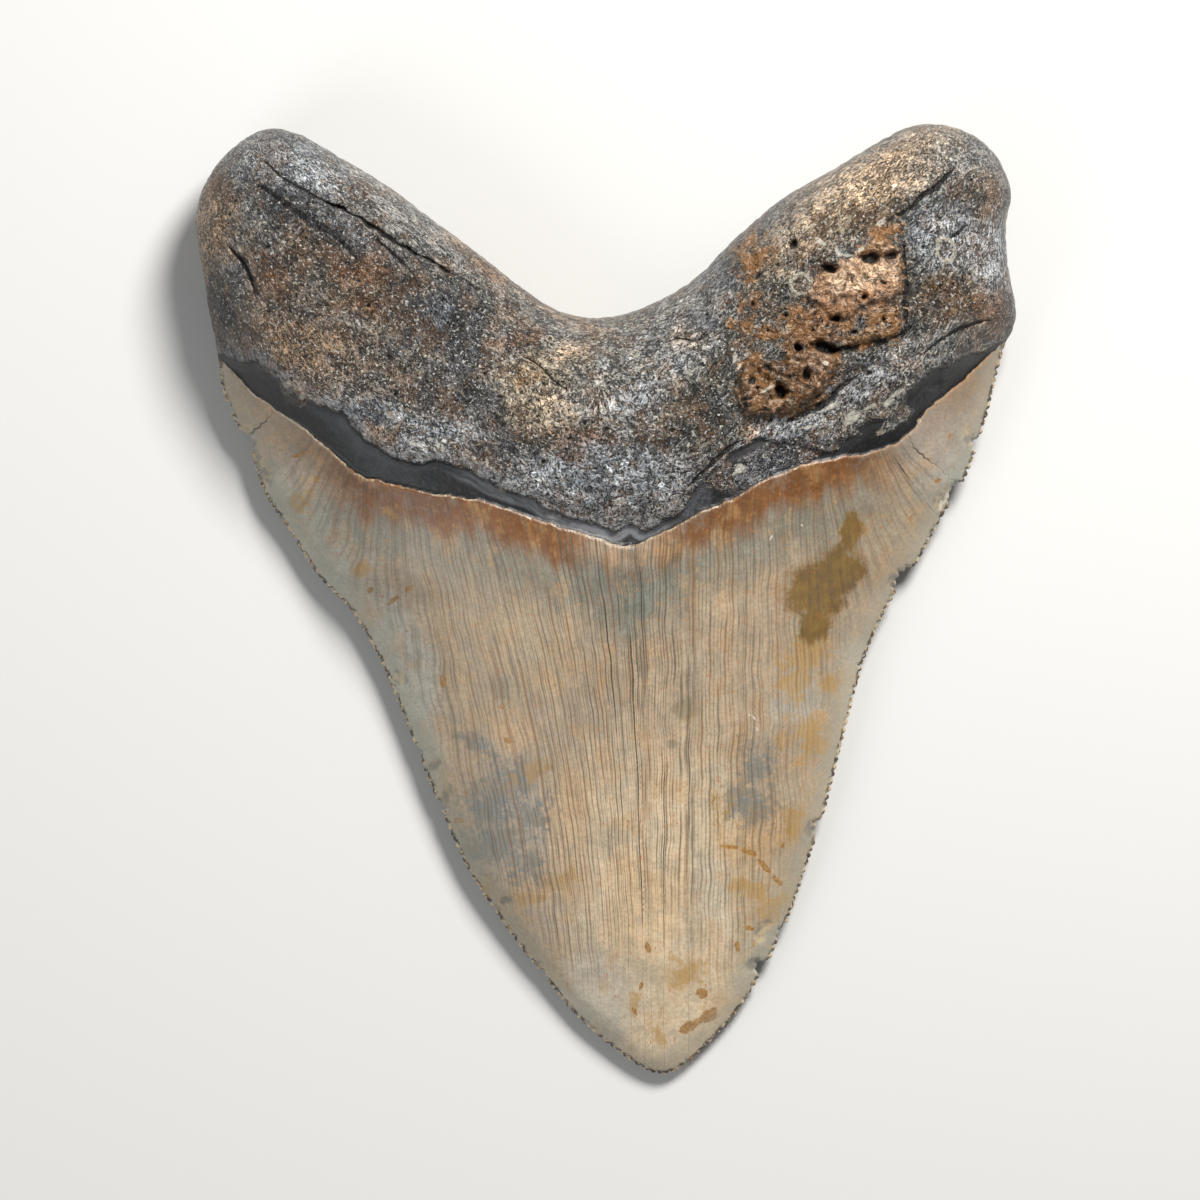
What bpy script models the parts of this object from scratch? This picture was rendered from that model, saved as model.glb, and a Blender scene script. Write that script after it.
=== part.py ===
"""Fossil megalodon tooth, one solid, lying on its flat labial face with the lingual face up.

X runs across the root, +Y from the tip to the root, +Z out of the surface it rests on.
The origin is under the middle of the tooth's box. Values are millimetres, and the mesh is metres.
The tooth is two height fields, one up and one down, that meet in one outline.
"""

import math

import bmesh
import bpy
import numpy as np
from mathutils import Vector, geometry, noise

METRES = 0.001  # one millimetre in Blender's unit

# Outline, seen from above, counterclockwise. The cutting edge runs from the left corner of the
# crown down to the tip and up to the right corner. The root's edge goes on over the right lobe,
# the notch and the left lobe.
LEFT_CORNER = (-57.7, 36.1)
RIGHT_CORNER = (59.5, 38.4)
TIP = (8.6, -70.8)
LEFT_EDGE = [
    LEFT_CORNER, (-57.2, 31.6), (-55.6, 27.2), (-53.3, 23.0), (-52.2, 19.4), (-50.8, 15.6),
    (-47.8, 11.2), (-43.0, 3.7), (-38.1, -1.5), (-33.7, -9.0), (-30.7, -16.0), (-27.7, -23.8),
    (-24.3, -32.0), (-20.3, -40.7), (-13.0, -51.5), (-9.0, -56.5), (-4.5, -62.0), (0.0, -66.0),
    (5.0, -69.6),
]
RIGHT_EDGE = [
    (11.6, -69.6), (14.8, -66.8), (19.7, -61.4), (24.2, -54.2), (26.6, -49.2), (28.4, -44.7),
    (30.3, -39.0), (32.1, -33.7), (33.6, -28.3), (35.0, -22.6), (36.4, -17.1), (37.5, -12.7),
    (38.9, -8.2), (40.8, -3.7), (43.2, 0.9), (47.0, 6.4), (50.0, 12.0), (53.2, 17.1),
    (54.9, 21.2), (56.1, 24.9), (57.2, 28.7), (58.2, 33.1), RIGHT_CORNER,
]
ROOT_EDGE = [
    RIGHT_CORNER, (60.6, 40.2), (61.1, 43.2), (60.3, 47.2), (59.7, 51.4), (59.6, 56.0),
    (60.3, 60.3), (59.3, 64.1), (56.9, 67.5), (53.5, 69.8), (49.0, 70.9), (45.0, 70.4),
    (40.8, 68.4), (33.4, 63.9), (26.0, 59.6), (18.5, 53.2), (13.7, 48.3), (8.0, 44.7),
    (2.1, 42.5), (-3.1, 42.2), (-7.4, 43.3), (-12.8, 46.8), (-18.8, 51.5), (-26.2, 57.0),
    (-32.2, 61.5), (-39.6, 66.0), (-45.6, 69.4), (-48.9, 70.2), (-51.9, 69.7), (-54.5, 68.1),
    (-57.2, 65.6), (-59.3, 62.6), (-60.5, 59.6), (-61.0, 56.0), (-60.5, 52.2), (-59.7, 47.7),
    (-59.2, 44.0), (-58.4, 40.0), LEFT_CORNER,
]

# Serrations and chips of the cutting edge
SERRATION_PITCH = 1.15
SERRATION_DEPTH = 0.4
CHIPS = [  # x, y, half width, depth
    (-52.4, 24.2, 2.4, 1.3), (-27.7, -22.6, 1.3, 0.6), (-15.8, -45.6, 1.4, 0.5),
    (23.4, -54.8, 1.5, 1.4), (31.9, -34.0, 1.8, 0.7), (44.6, 3.2, 2.4, 1.1),
    (52.0, 16.2, 2.2, 1.2), (55.2, 23.4, 1.3, 0.9),
]

# Height of the outline: low along the blade, near the labial face, and higher round the root.
# Each rise is the stretch of Y over which one height gives way to the next.
TIP_EDGE_HEIGHT = 2.2
BLADE_EDGE_HEIGHT = 3.7
ROOT_EDGE_HEIGHT = 9.0
TIP_RISE = (-72.0, -28.0)
ROOT_RISE = (8.0, 55.0)

# Lingual face: the crown's bulge over its edge, and the root's with its middle protuberance
CROWN_BULGE = 20.5
CROWN_TAPER = 0.78  # power by which the bulge falls from the neck to the tip
CROWN_SECTION = 2.3  # power of the cross section, 2 is a plain arch
NECK_Y = 25.0
ROOT_BULGE = 13.4
ROOT_ROUNDING = 12.5  # width of the rounded edge
LOBE_THINNING = 3.0
LOBE_REACH = (28.0, 58.0)  # distance from the middle over which a lobe thins
PROTUBERANCE = (0.5, 23.0, 20.0, 11.5, 8.6)  # x, y, half widths in X and Y, height
LOBE_HOLLOW = (-27.0, 40.0, 12.0, 8.0, -1.6)
NECK_BLEND = (-4.0, 8.0)  # past the enamel line, where the crown's form becomes the root's
LEAST_BULGE = 0.25

# Bourlette: the smooth band between the enamel's lower line and the bony root, sunk under both
ENAMEL_LINE = [
    (-58.6, 36.8), (-54.6, 33.2), (-49.4, 28.7), (-45.6, 26.2), (-42.6, 23.8), (-36.4, 18.3),
    (-30.7, 17.0), (-22.5, 15.4), (-15.8, 13.9), (-9.8, 11.9), (-3.9, 10.1), (1.2, 8.4),
    (3.0, 8.2), (6.6, 9.2), (11.8, 11.8), (17.0, 14.2), (23.7, 17.9), (28.9, 20.1),
    (34.9, 21.2), (40.8, 22.4), (44.6, 24.3), (47.5, 28.3), (52.0, 31.7), (56.5, 36.1),
    (59.9, 38.8),
]
ROOT_LINE = [
    (-58.4, 38.2), (-54.6, 36.2), (-51.6, 35.6), (-48.6, 33.0), (-45.6, 30.1), (-41.7, 29.2),
    (-37.4, 26.2), (-33.2, 23.1), (-30.2, 20.9), (-25.3, 20.7), (-21.8, 20.1), (-16.0, 17.9),
    (-9.8, 14.9), (-3.9, 12.7), (2.0, 11.6), (8.0, 11.9), (11.6, 14.2), (14.0, 17.6),
    (20.0, 22.0), (25.0, 24.0), (31.0, 24.1), (37.8, 24.3), (39.6, 26.6), (44.0, 29.2),
    (48.3, 33.0), (54.0, 36.8), (59.6, 39.2),
]
ENAMEL_STEP = 0.55
ROOT_STEP = 0.8
STEP_HALF_WIDTH = 0.4

# Cracks of the lobes: the points, half width and depth
CRACKS = [
    ([(-50.2, 65.0), (-45.3, 61.8), (-40.4, 58.8), (-35.6, 57.1), (-31.4, 53.8), (-27.6, 51.2),
      (-23.0, 48.3)], 0.75, 1.1),
    ([(42.0, 56.5), (46.2, 58.4), (49.2, 61.8), (51.5, 63.6)], 0.55, 1.0),
]

# Crust that grew on the right lobe, as lumps: x, y, half widths, turn in degrees, height
CRUST = [
    (33.0, 46.0, 12.5, 8.2, 4.0, 1.0), (27.6, 32.6, 8.6, 6.2, 20.0, 1.9),
    (40.4, 52.6, 4.6, 2.0, 0.0, 0.9),
]
CRUST_SHOULDER = 0.16  # share of a lump's radius that its steep side takes
PITS = [  # x, y, half widths in X and Y, depth
    (27.6, 52.9, 0.9, 0.9, 1.8), (32.6, 49.5, 1.6, 0.9, 1.6), (39.3, 50.4, 3.2, 1.2, 2.4),
    (22.0, 44.3, 0.8, 0.8, 1.4), (38.1, 44.8, 1.5, 0.7, 1.6), (34.0, 42.0, 0.9, 0.9, 1.6),
    (28.5, 37.4, 1.0, 0.9, 2.4), (32.8, 37.1, 2.2, 1.2, 2.6), (29.5, 33.1, 1.0, 1.3, 1.8),
    (26.1, 31.0, 1.2, 1.7, 2.6), (21.5, 39.2, 0.8, 0.8, 1.2), (21.2, 30.6, 1.4, 1.3, 1.0),
]
PIT_WALL = (-0.1, 0.45)  # share of a pit's radius over which its wall goes down

# Labial face: it rests on three flats and is hollowed slightly between them
LABIAL_ENAMEL_LINE = [
    (-58.6, 36.8), (-50.0, 31.0), (-38.0, 26.6), (-22.0, 25.6), (-8.0, 27.6), (2.0, 28.6),
    (12.0, 27.8), (26.0, 26.4), (40.0, 27.6), (51.0, 32.4), (59.9, 38.8),
]
LABIAL_SECTION = 3.2  # power of the crown's cross section
LABIAL_TAPER = 0.7
LABIAL_TAPER_LENGTH = 36.0  # length from the tip over which the labial face fills out
LABIAL_ROUNDING = 7.0
LABIAL_BLEND = (-3.0, 3.0)
LABIAL_STEP = 0.6
HOLLOW = 1.4
FLATS = [(4.0, -18.0, 15.0, 26.0), (-43.0, 54.0, 13.0, 10.0), (44.0, 54.5, 12.0, 10.0)]
FLAT_REACH = 3.0  # how far a flat's hill would go down if the surface didn't cut it level

# Undulation of the fossil bone
LUMP_SIZE = 9.0
LUMP_HEIGHT = 0.55
LINGUAL_SEED = 1.3
LABIAL_SEED = 7.9

# Distances from the outline over which relief and hollow grow to their full depth
RELIEF_FADE = 3.0
HOLLOW_FADE = 6.0

# Spacing of the mesh's points
CURVE_STEP = 0.25
ROOT_EDGE_SPACING = 2.3
LINGUAL_SPACING = 2.25
LABIAL_SPACING = 3.9
LATTICE_SHARE = 0.66  # of the spacing, the least gap between the lattice and other points
LATTICE_HALF_SIZE = (62.0, 72.0)
PIT_RINGS = ((1.15, 10), (0.6, 8), (0.0, 1))  # share of the pit's radius, count of points
CRUST_RINGS = (1.02, 0.84)
CRUST_SPACING = 1.9
SHARP_ANGLE = 50.0

COLOURS = {  # base colour and roughness of each region
    "root": ((0.105, 0.095, 0.085), 0.75),
    "bourlette": ((0.032, 0.033, 0.036), 0.6),
    "enamel": ((0.36, 0.30, 0.22), 0.42),
    "crust": ((0.22, 0.115, 0.055), 0.85),
}


def smoothstep(low, high, value):
    share = np.clip((value - low) / (high - low), 0.0, 1.0)
    return share * share * (3.0 - 2.0 * share)


def smooth_curve(points, step):
    """Centripetal Catmull-Rom curve through the points, resampled at an even step."""
    ends = [2 * np.array(points[0]) - points[1], 2 * np.array(points[-1]) - points[-2]]
    knots = np.array([ends[0], *points, ends[1]], float)
    dense = []
    for before, start, stop, after in zip(knots, knots[1:], knots[2:], knots[3:]):
        pairs = ((before, start), (start, stop), (stop, after))
        t0, t1, t2, t3 = np.cumsum([0.0, *(math.dist(a, b) ** 0.5 for a, b in pairs)])
        t = np.linspace(t1, t2, 40, endpoint=False)[:, None]
        low = (t1 - t) / (t1 - t0) * before + (t - t0) / (t1 - t0) * start
        mid = (t2 - t) / (t2 - t1) * start + (t - t1) / (t2 - t1) * stop
        high = (t3 - t) / (t3 - t2) * stop + (t - t2) / (t3 - t2) * after
        low = (t2 - t) / (t2 - t0) * low + (t - t0) / (t2 - t0) * mid
        high = (t3 - t) / (t3 - t1) * mid + (t - t1) / (t3 - t1) * high
        dense.append((t2 - t) / (t2 - t1) * low + (t - t1) / (t2 - t1) * high)
    dense = np.vstack([*dense, [knots[-2]]])
    length = np.append(0.0, np.cumsum(np.linalg.norm(np.diff(dense, axis=0), axis=1)))
    even = np.linspace(0.0, length[-1], max(2, round(length[-1] / step) + 1))
    return np.column_stack([np.interp(even, length, dense[:, axis]) for axis in (0, 1)])


def sideways(curve):
    """Unit normals to the left of a curve, which is inward on the counterclockwise outline."""
    along = np.gradient(curve, axis=0)
    along /= np.linalg.norm(along, axis=1, keepdims=True)
    return np.column_stack([-along[:, 1], along[:, 0]])


def distance(curve, places):
    """Distance from each place to the nearest point of the curve."""
    return np.array([np.sqrt(((curve - place) ** 2).sum(axis=1).min()) for place in places])


def height_over(curve, places):
    """Signed distance to a line that runs from left to right, positive towards the root."""
    above = places[:, 1] - np.interp(places[:, 0], curve[:, 0], curve[:, 1])
    return distance(curve, places) * np.sign(above)


def ellipse(places, x, y, half_x, half_y, turn=0.0):
    """1 at the middle of an ellipse, 0 at its rim and below 0 outside."""
    angle = math.radians(turn)
    dx, dy = places[:, 0] - x, places[:, 1] - y
    along = dx * math.cos(angle) + dy * math.sin(angle)
    across = dy * math.cos(angle) - dx * math.sin(angle)
    return 1.0 - np.hypot(along / half_x, across / half_y)


def ellipse_ring(x, y, half_x, half_y, turn, count):
    """Evenly turned points on an ellipse."""
    angle = math.radians(turn)
    turns = np.arange(count) * 2 * math.pi / count
    along, across = half_x * np.cos(turns), half_y * np.sin(turns)
    return np.column_stack([
        x + along * math.cos(angle) - across * math.sin(angle),
        y + along * math.sin(angle) + across * math.cos(angle),
    ])


def hill(places, x, y, half_x, half_y, height):
    """A soft round hill, or a hollow if its height is negative."""
    spread = ((places[:, 0] - x) / half_x) ** 2 + ((places[:, 1] - y) / half_y) ** 2
    return height * np.exp(-spread)


def undulation(places, seed):
    """Low lumps of the fossil bone."""
    return LUMP_HEIGHT * np.array([
        noise.noise(Vector((x / LUMP_SIZE, y / LUMP_SIZE, seed))) for x, y in places
    ])


def rounded(depth, width):
    """Quarter-circle profile: 0 at the outline, 1 from the given width inward."""
    share = np.clip(depth / width, 0.0, 1.0)
    return np.sqrt(1.0 - (1.0 - share) ** 2)


class Outline:
    """The tooth's outline and the lines that its two faces are shaped by."""

    def __init__(self):
        self.cutting = smooth_curve([*LEFT_EDGE, TIP, *RIGHT_EDGE], CURVE_STEP)
        self.root = smooth_curve(ROOT_EDGE, CURVE_STEP)
        self.all = np.vstack([self.cutting, self.root])
        self.enamel_line = smooth_curve(ENAMEL_LINE, CURVE_STEP)
        self.root_line = smooth_curve(ROOT_LINE, CURVE_STEP)
        self.labial_line = smooth_curve(LABIAL_ENAMEL_LINE, CURVE_STEP)
        self.cracks = [smooth_curve(points, CURVE_STEP) for points, _, _ in CRACKS]
        tip = int(self.cutting[:, 1].argmin())
        self.left, self.right = self.cutting[: tip + 1][::-1], self.cutting[tip:]

    def rim(self):
        """Corner points of the solid's edge, with the serrations and chips."""
        edge = smooth_curve([*LEFT_EDGE, TIP, *RIGHT_EDGE], SERRATION_PITCH / 2)
        depths = np.where(np.arange(len(edge)) % 2 == 1, SERRATION_DEPTH, 0.0)
        depths[[0, -1]] = 0.0
        for x, y, half_width, depth in CHIPS:
            nearness = np.linalg.norm(edge - (x, y), axis=1) / half_width
            depths += depth * np.clip(1.0 - nearness**2, 0.0, 1.0)
        cut = edge + sideways(edge) * depths[:, None]
        return np.vstack([cut[:-1], smooth_curve(ROOT_EDGE, ROOT_EDGE_SPACING)[:-1]])

    def across(self, places):
        """-1 at the left cutting edge, 0 on the crown's middle line, 1 at the right edge."""
        left = np.interp(places[:, 1], self.left[:, 1], self.left[:, 0])
        right = np.interp(places[:, 1], self.right[:, 1], self.right[:, 0])
        half_width = np.maximum((right - left) / 2, CURVE_STEP)
        return np.clip((places[:, 0] - (left + right) / 2) / half_width, -1.0, 1.0)


def edge_height(places):
    """Height of the outline above the surface that the tooth rests on."""
    from_tip = smoothstep(*TIP_RISE, places[:, 1])
    to_root = smoothstep(*ROOT_RISE, places[:, 1])
    blade = TIP_EDGE_HEIGHT + (BLADE_EDGE_HEIGHT - TIP_EDGE_HEIGHT) * from_tip
    return blade + (ROOT_EDGE_HEIGHT - BLADE_EDGE_HEIGHT) * to_root


def crown_bulge(outline, places):
    """Lingual bulge of the crown: a thick lens that thins towards the tip."""
    up = np.maximum((places[:, 1] - TIP[1]) / (NECK_Y - TIP[1]), 0.0)
    return CROWN_BULGE * up**CROWN_TAPER * (1.0 - np.abs(outline.across(places)) ** CROWN_SECTION)


def root_bulge(places, depth):
    """Lingual bulge of the root: two lobes and the protuberance between them."""
    bulge = ROOT_BULGE - LOBE_THINNING * smoothstep(*LOBE_REACH, np.abs(places[:, 0]))
    bulge += hill(places, *PROTUBERANCE) + hill(places, *LOBE_HOLLOW)
    return bulge * rounded(depth, ROOT_ROUNDING)


def crust_relief(places):
    """The crust stands on the root with a short steep side, and its pits go down into it."""
    relief = np.zeros(len(places))
    for *lump, height in CRUST:
        side = smoothstep(0.0, CRUST_SHOULDER, ellipse(places, *lump))
        relief = np.maximum(relief, height * side)
    for *pit, depth in PITS:
        relief -= depth * smoothstep(*PIT_WALL, ellipse(places, *pit))
    return relief


def lingual_height(outline, places):
    """Height of the upper face."""
    depth = distance(outline.all, places)
    past_enamel = height_over(outline.enamel_line, places)
    past_root_line = height_over(outline.root_line, places)
    on_root = smoothstep(*NECK_BLEND, past_enamel)
    bulge = crown_bulge(outline, places) * (1.0 - on_root) + root_bulge(places, depth) * on_root
    enamel = smoothstep(-STEP_HALF_WIDTH, STEP_HALF_WIDTH, -past_enamel)
    bone = smoothstep(-STEP_HALF_WIDTH, STEP_HALF_WIDTH, past_root_line)
    relief = ENAMEL_STEP * enamel + (ROOT_STEP + undulation(places, LINGUAL_SEED)) * bone
    for curve, (_, half_width, crack_depth) in zip(outline.cracks, CRACKS):
        relief -= crack_depth * np.clip(1.0 - distance(curve, places) / half_width, 0.0, 1.0)
    relief = (relief + crust_relief(places)) * smoothstep(0.0, RELIEF_FADE, depth)
    return edge_height(places) + np.maximum(bulge + relief, LEAST_BULGE * np.minimum(depth, 1.0))


def labial_height(outline, places):
    """Height of the lower face. The surface that the tooth rests on cuts its three flats level."""
    depth = distance(outline.all, places)
    on_root = smoothstep(*LABIAL_BLEND, height_over(outline.labial_line, places))
    filled = np.clip((places[:, 1] - TIP[1]) / LABIAL_TAPER_LENGTH, 0.0, 1.0) ** LABIAL_TAPER
    crown = 1.0 - filled * (1.0 - np.abs(outline.across(places)) ** LABIAL_SECTION)
    root = 1.0 - rounded(depth, LABIAL_ROUNDING)
    touching = np.max([hill(places, *flat, 1.0) for flat in FLATS], axis=0)
    hollow = HOLLOW - FLAT_REACH * touching
    hollow += (LABIAL_STEP + undulation(places, LABIAL_SEED)) * on_root
    height = edge_height(places) * (crown * (1.0 - on_root) + root * on_root)
    height += hollow * smoothstep(0.0, HOLLOW_FADE, depth)
    return np.clip(height, 0.0, edge_height(places) - LEAST_BULGE * np.minimum(depth, 1.0))


def rows_beside(curve, offsets, spacing):
    """Rows of points along a curve, at the given offsets to its left."""
    stride = max(1, round(spacing / CURVE_STEP))
    base, normals = curve[::stride], sideways(curve)[::stride]
    return np.vstack([base + normals * offset for offset in offsets])


def lattice(spacing):
    """Points of a triangular lattice over the tooth's box."""
    half_x, half_y = LATTICE_HALF_SIZE
    rows = np.arange(-half_y, half_y, spacing * math.sqrt(3) / 2)
    columns = np.arange(-half_x, half_x, spacing)
    shifts = (np.arange(len(rows)) % 2) * spacing / 2
    xs = (columns[None, :] + shifts[:, None]).ravel()
    return np.column_stack([xs, np.repeat(rows, len(columns))])


def is_inside(ring, places):
    """Whether each place lies inside the ring of points, by counting crossings to its right."""
    x1, y1 = ring.T
    x2, y2 = np.roll(ring, -1, axis=0).T
    found = []
    for x, y in places:
        crossing = (y1 > y) != (y2 > y)
        reach = x1[crossing] + (y - y1[crossing]) * (x2 - x1)[crossing] / (y2 - y1)[crossing]
        found.append((reach > x).sum() % 2 == 1)
    return np.array(found)


def spread_out(rim, groups):
    """Points of all groups, each at least its group's gaps from the others and from the rim."""
    kept = np.empty((0, 2))
    for places, gap, rim_gap in groups:
        places = places[is_inside(rim, places)]
        places = places[distance(rim, places) > rim_gap]
        for place in places:
            if len(kept) == 0 or ((kept - place) ** 2).sum(axis=1).min() > gap**2:
                kept = np.vstack([kept, place])
    return kept


def rounding_depths(width, angles):
    """Distances from the outline at which a rounded edge has turned by the given angles."""
    return [width * (1 - math.cos(math.radians(angle))) for angle in angles]


def lingual_places(outline, rim):
    """Points of the upper face, closer together round its pits, cracks and steps."""
    pits = [
        ellipse_ring(x, y, share * half_x, share * half_y, 0.0, count)
        for x, y, half_x, half_y, _ in PITS for share, count in PIT_RINGS
    ]
    crust = [
        ellipse_ring(
            x, y, share * half_x, share * half_y, turn,
            round((half_x + half_y) * math.pi / CRUST_SPACING),
        )
        for x, y, half_x, half_y, turn, _ in CRUST for share in CRUST_RINGS
    ]
    cracks = [rows_beside(curve, (-0.8, 0.0, 0.8), 1.6) for curve in outline.cracks]
    return spread_out(rim, [
        (np.vstack(pits), 0.3, 1.0),
        (np.vstack(cracks), 0.5, 1.0),
        (rows_beside(outline.enamel_line, (-0.5, 0.5), 2.0), 0.6, 0.7),
        (rows_beside(outline.root_line, (-0.5, 0.5), 2.0), 0.6, 0.9),
        (np.vstack(crust), 1.0, 1.0),
        (rows_beside(outline.cutting, (1.0,), 1.25), 0.9, 0.6),
        (rows_beside(outline.root, rounding_depths(ROOT_ROUNDING, (22, 42, 62)), 2.3), 1.5, 0.7),
        (lattice(LINGUAL_SPACING), LINGUAL_SPACING * LATTICE_SHARE, 1.6),
    ])


def labial_places(outline, rim):
    """Points of the lower face, which is plainer and takes fewer."""
    return spread_out(rim, [
        (rows_beside(outline.labial_line, (-0.7, 0.7), 3.0), 1.0, 1.2),
        (rows_beside(outline.cutting, (1.2,), 1.9), 1.4, 0.7),
        (rows_beside(outline.root, rounding_depths(LABIAL_ROUNDING, (25, 50, 75)), 2.6), 1.4, 0.5),
        (lattice(LABIAL_SPACING), LABIAL_SPACING * LATTICE_SHARE, 2.2),
    ])


def triangulate(rim, places):
    """Delaunay triangles of the rim and the places inside it, facing up."""
    flat = [Vector(place) for place in np.vstack([rim, places])]
    ring = list(range(len(rim)))
    corners, _, faces, sources, _, _ = geometry.delaunay_2d_cdt(flat, [], [ring], 0, 1e-6, True)
    if len(corners) != len(flat):
        raise RuntimeError("two points of a face coincide")
    middles = np.array([np.mean([corners[corner] for corner in face], axis=0) for face in faces])
    kept = is_inside(rim, middles)
    return [[sources[corner][0] for corner in face] for face, keep in zip(faces, kept) if keep]


def regions(outline, places, is_lingual):
    """Name of the finish at each place of a face."""
    line = outline.enamel_line if is_lingual else outline.labial_line
    names = np.where(height_over(line, places) < 0, "enamel", "root").astype(object)
    if is_lingual:
        names[(names == "root") & (height_over(outline.root_line, places) < 0)] = "bourlette"
        for *lump, _ in CRUST:
            names[ellipse(places, *lump) > 0] = "crust"
    return names


def add_materials(mesh):
    for name, (colour, roughness) in COLOURS.items():
        material = bpy.data.materials.new(name)
        material.use_nodes = True
        shader = material.node_tree.nodes["Principled BSDF"]
        shader.inputs["Base Color"].default_value = (*colour, 1.0)
        shader.inputs["Roughness"].default_value = roughness
        mesh.materials.append(material)


def colour_faces(mesh, outline, flat, upper, lower):
    """Gives each triangle the material of its region. The upper faces come first."""
    names = []
    for faces, is_lingual in ((upper, True), (lower, False)):
        middles = np.array([flat[face].mean(axis=0) for face in faces])
        names.extend(regions(outline, middles, is_lingual))
    slots = list(COLOURS)
    for polygon, name in zip(mesh.polygons, names):
        polygon.material_index = slots.index(name)


def make_tooth():
    """Joins the two faces along the rim in one closed mesh, centred over the origin."""
    outline = Outline()
    rim = outline.rim()
    lingual, labial = lingual_places(outline, rim), labial_places(outline, rim)
    upper, lower = triangulate(rim, lingual), triangulate(rim, labial)
    shift = len(lingual)
    lower = [[c if c < len(rim) else c + shift for c in reversed(face)] for face in lower]

    flat = np.vstack([rim, lingual, labial])
    heights = [edge_height(rim), lingual_height(outline, lingual), labial_height(outline, labial)]
    middle = (flat.min(axis=0) + flat.max(axis=0)) / 2
    points = np.column_stack([flat - middle, np.concatenate(heights)]) * METRES

    mesh = bpy.data.meshes.new("tooth")
    mesh.from_pydata([tuple(point) for point in points], [], upper + lower)
    add_materials(mesh)
    colour_faces(mesh, outline, flat, upper, lower)
    shaper = bmesh.new()
    shaper.from_mesh(mesh)
    bmesh.ops.recalc_face_normals(shaper, faces=shaper.faces)
    shaper.to_mesh(mesh)
    shaper.free()
    mesh.shade_smooth()
    mesh.set_sharp_from_angle(angle=math.radians(SHARP_ANGLE))
    return bpy.data.objects.new("tooth", mesh)


for leftover in list(bpy.data.objects):
    bpy.data.objects.remove(leftover)
holder = bpy.data.collections.new("megalodon_tooth")
bpy.context.scene.collection.children.link(holder)
holder.objects.link(make_tooth())
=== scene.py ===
"""Looks of a fossil megalodon tooth that lies on its labial face, lingual face up.

Lengths in this file are millimetres unless a name or unit says otherwise, in the frame's own axes:
X across the root, +Y from the tip to the root, +Z up. The mesh is made in metres.
"""

import math

import bpy
import numpy as np
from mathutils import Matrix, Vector, geometry, kdtree, noise


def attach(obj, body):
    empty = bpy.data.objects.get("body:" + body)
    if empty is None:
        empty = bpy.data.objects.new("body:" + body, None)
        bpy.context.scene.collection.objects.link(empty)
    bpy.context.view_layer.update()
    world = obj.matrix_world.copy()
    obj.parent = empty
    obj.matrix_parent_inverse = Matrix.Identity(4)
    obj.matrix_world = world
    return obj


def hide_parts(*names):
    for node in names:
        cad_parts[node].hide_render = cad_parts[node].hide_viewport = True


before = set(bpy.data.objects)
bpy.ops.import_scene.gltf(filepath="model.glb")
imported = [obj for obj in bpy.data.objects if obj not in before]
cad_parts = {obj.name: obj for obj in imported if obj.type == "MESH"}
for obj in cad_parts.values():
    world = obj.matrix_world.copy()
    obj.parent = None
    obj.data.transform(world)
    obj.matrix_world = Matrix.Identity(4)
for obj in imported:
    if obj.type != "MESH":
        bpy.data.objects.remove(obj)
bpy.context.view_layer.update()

bl_info = {
    "name": "Fossil tooth",
    "version": (1, 0, 0),
    "blender": (4, 5, 0),
    "location": "View3D > Sidebar > Fossil tooth",
    "description": "Builds a fossil megalodon tooth with its finish, and a studio to show it in",
    "category": "Object",
}

METRES = 0.001

# Outline, seen from above, counterclockwise
LEFT_CORNER = (-57.7, 36.1)
RIGHT_CORNER = (59.5, 38.4)
TIP = (8.6, -70.8)
LEFT_EDGE = [
    LEFT_CORNER, (-57.2, 31.6), (-55.6, 27.2), (-53.3, 23.0), (-52.2, 19.4), (-50.8, 15.6),
    (-47.8, 11.2), (-43.0, 3.7), (-38.1, -1.5), (-33.7, -9.0), (-30.7, -16.0), (-27.7, -23.8),
    (-24.3, -32.0), (-20.3, -40.7), (-13.0, -51.5), (-9.0, -56.5), (-4.5, -62.0), (0.0, -66.0),
    (5.0, -69.6),
]
RIGHT_EDGE = [
    (11.6, -69.6), (14.8, -66.8), (19.7, -61.4), (24.2, -54.2), (26.6, -49.2), (28.4, -44.7),
    (30.3, -39.0), (32.1, -33.7), (33.6, -28.3), (35.0, -22.6), (36.4, -17.1), (37.5, -12.7),
    (38.9, -8.2), (40.8, -3.7), (43.2, 0.9), (47.0, 6.4), (50.0, 12.0), (53.2, 17.1),
    (54.9, 21.2), (56.1, 24.9), (57.2, 28.7), (58.2, 33.1), RIGHT_CORNER,
]
ROOT_EDGE = [
    RIGHT_CORNER, (60.6, 40.2), (61.1, 43.2), (60.3, 47.2), (59.7, 51.4), (59.6, 56.0),
    (60.3, 60.3), (59.3, 64.1), (56.9, 67.5), (53.5, 69.8), (49.0, 70.9), (45.0, 70.4),
    (40.8, 68.4), (33.4, 63.9), (26.0, 59.6), (18.5, 53.2), (13.7, 48.3), (8.0, 44.7),
    (2.1, 42.5), (-3.1, 42.2), (-7.4, 43.3), (-12.8, 46.8), (-18.8, 51.5), (-26.2, 57.0),
    (-32.2, 61.5), (-39.6, 66.0), (-45.6, 69.4), (-48.9, 70.2), (-51.9, 69.7), (-54.5, 68.1),
    (-57.2, 65.6), (-59.3, 62.6), (-60.5, 59.6), (-61.0, 56.0), (-60.5, 52.2), (-59.7, 47.7),
    (-59.2, 44.0), (-58.4, 40.0), LEFT_CORNER,
]
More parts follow.
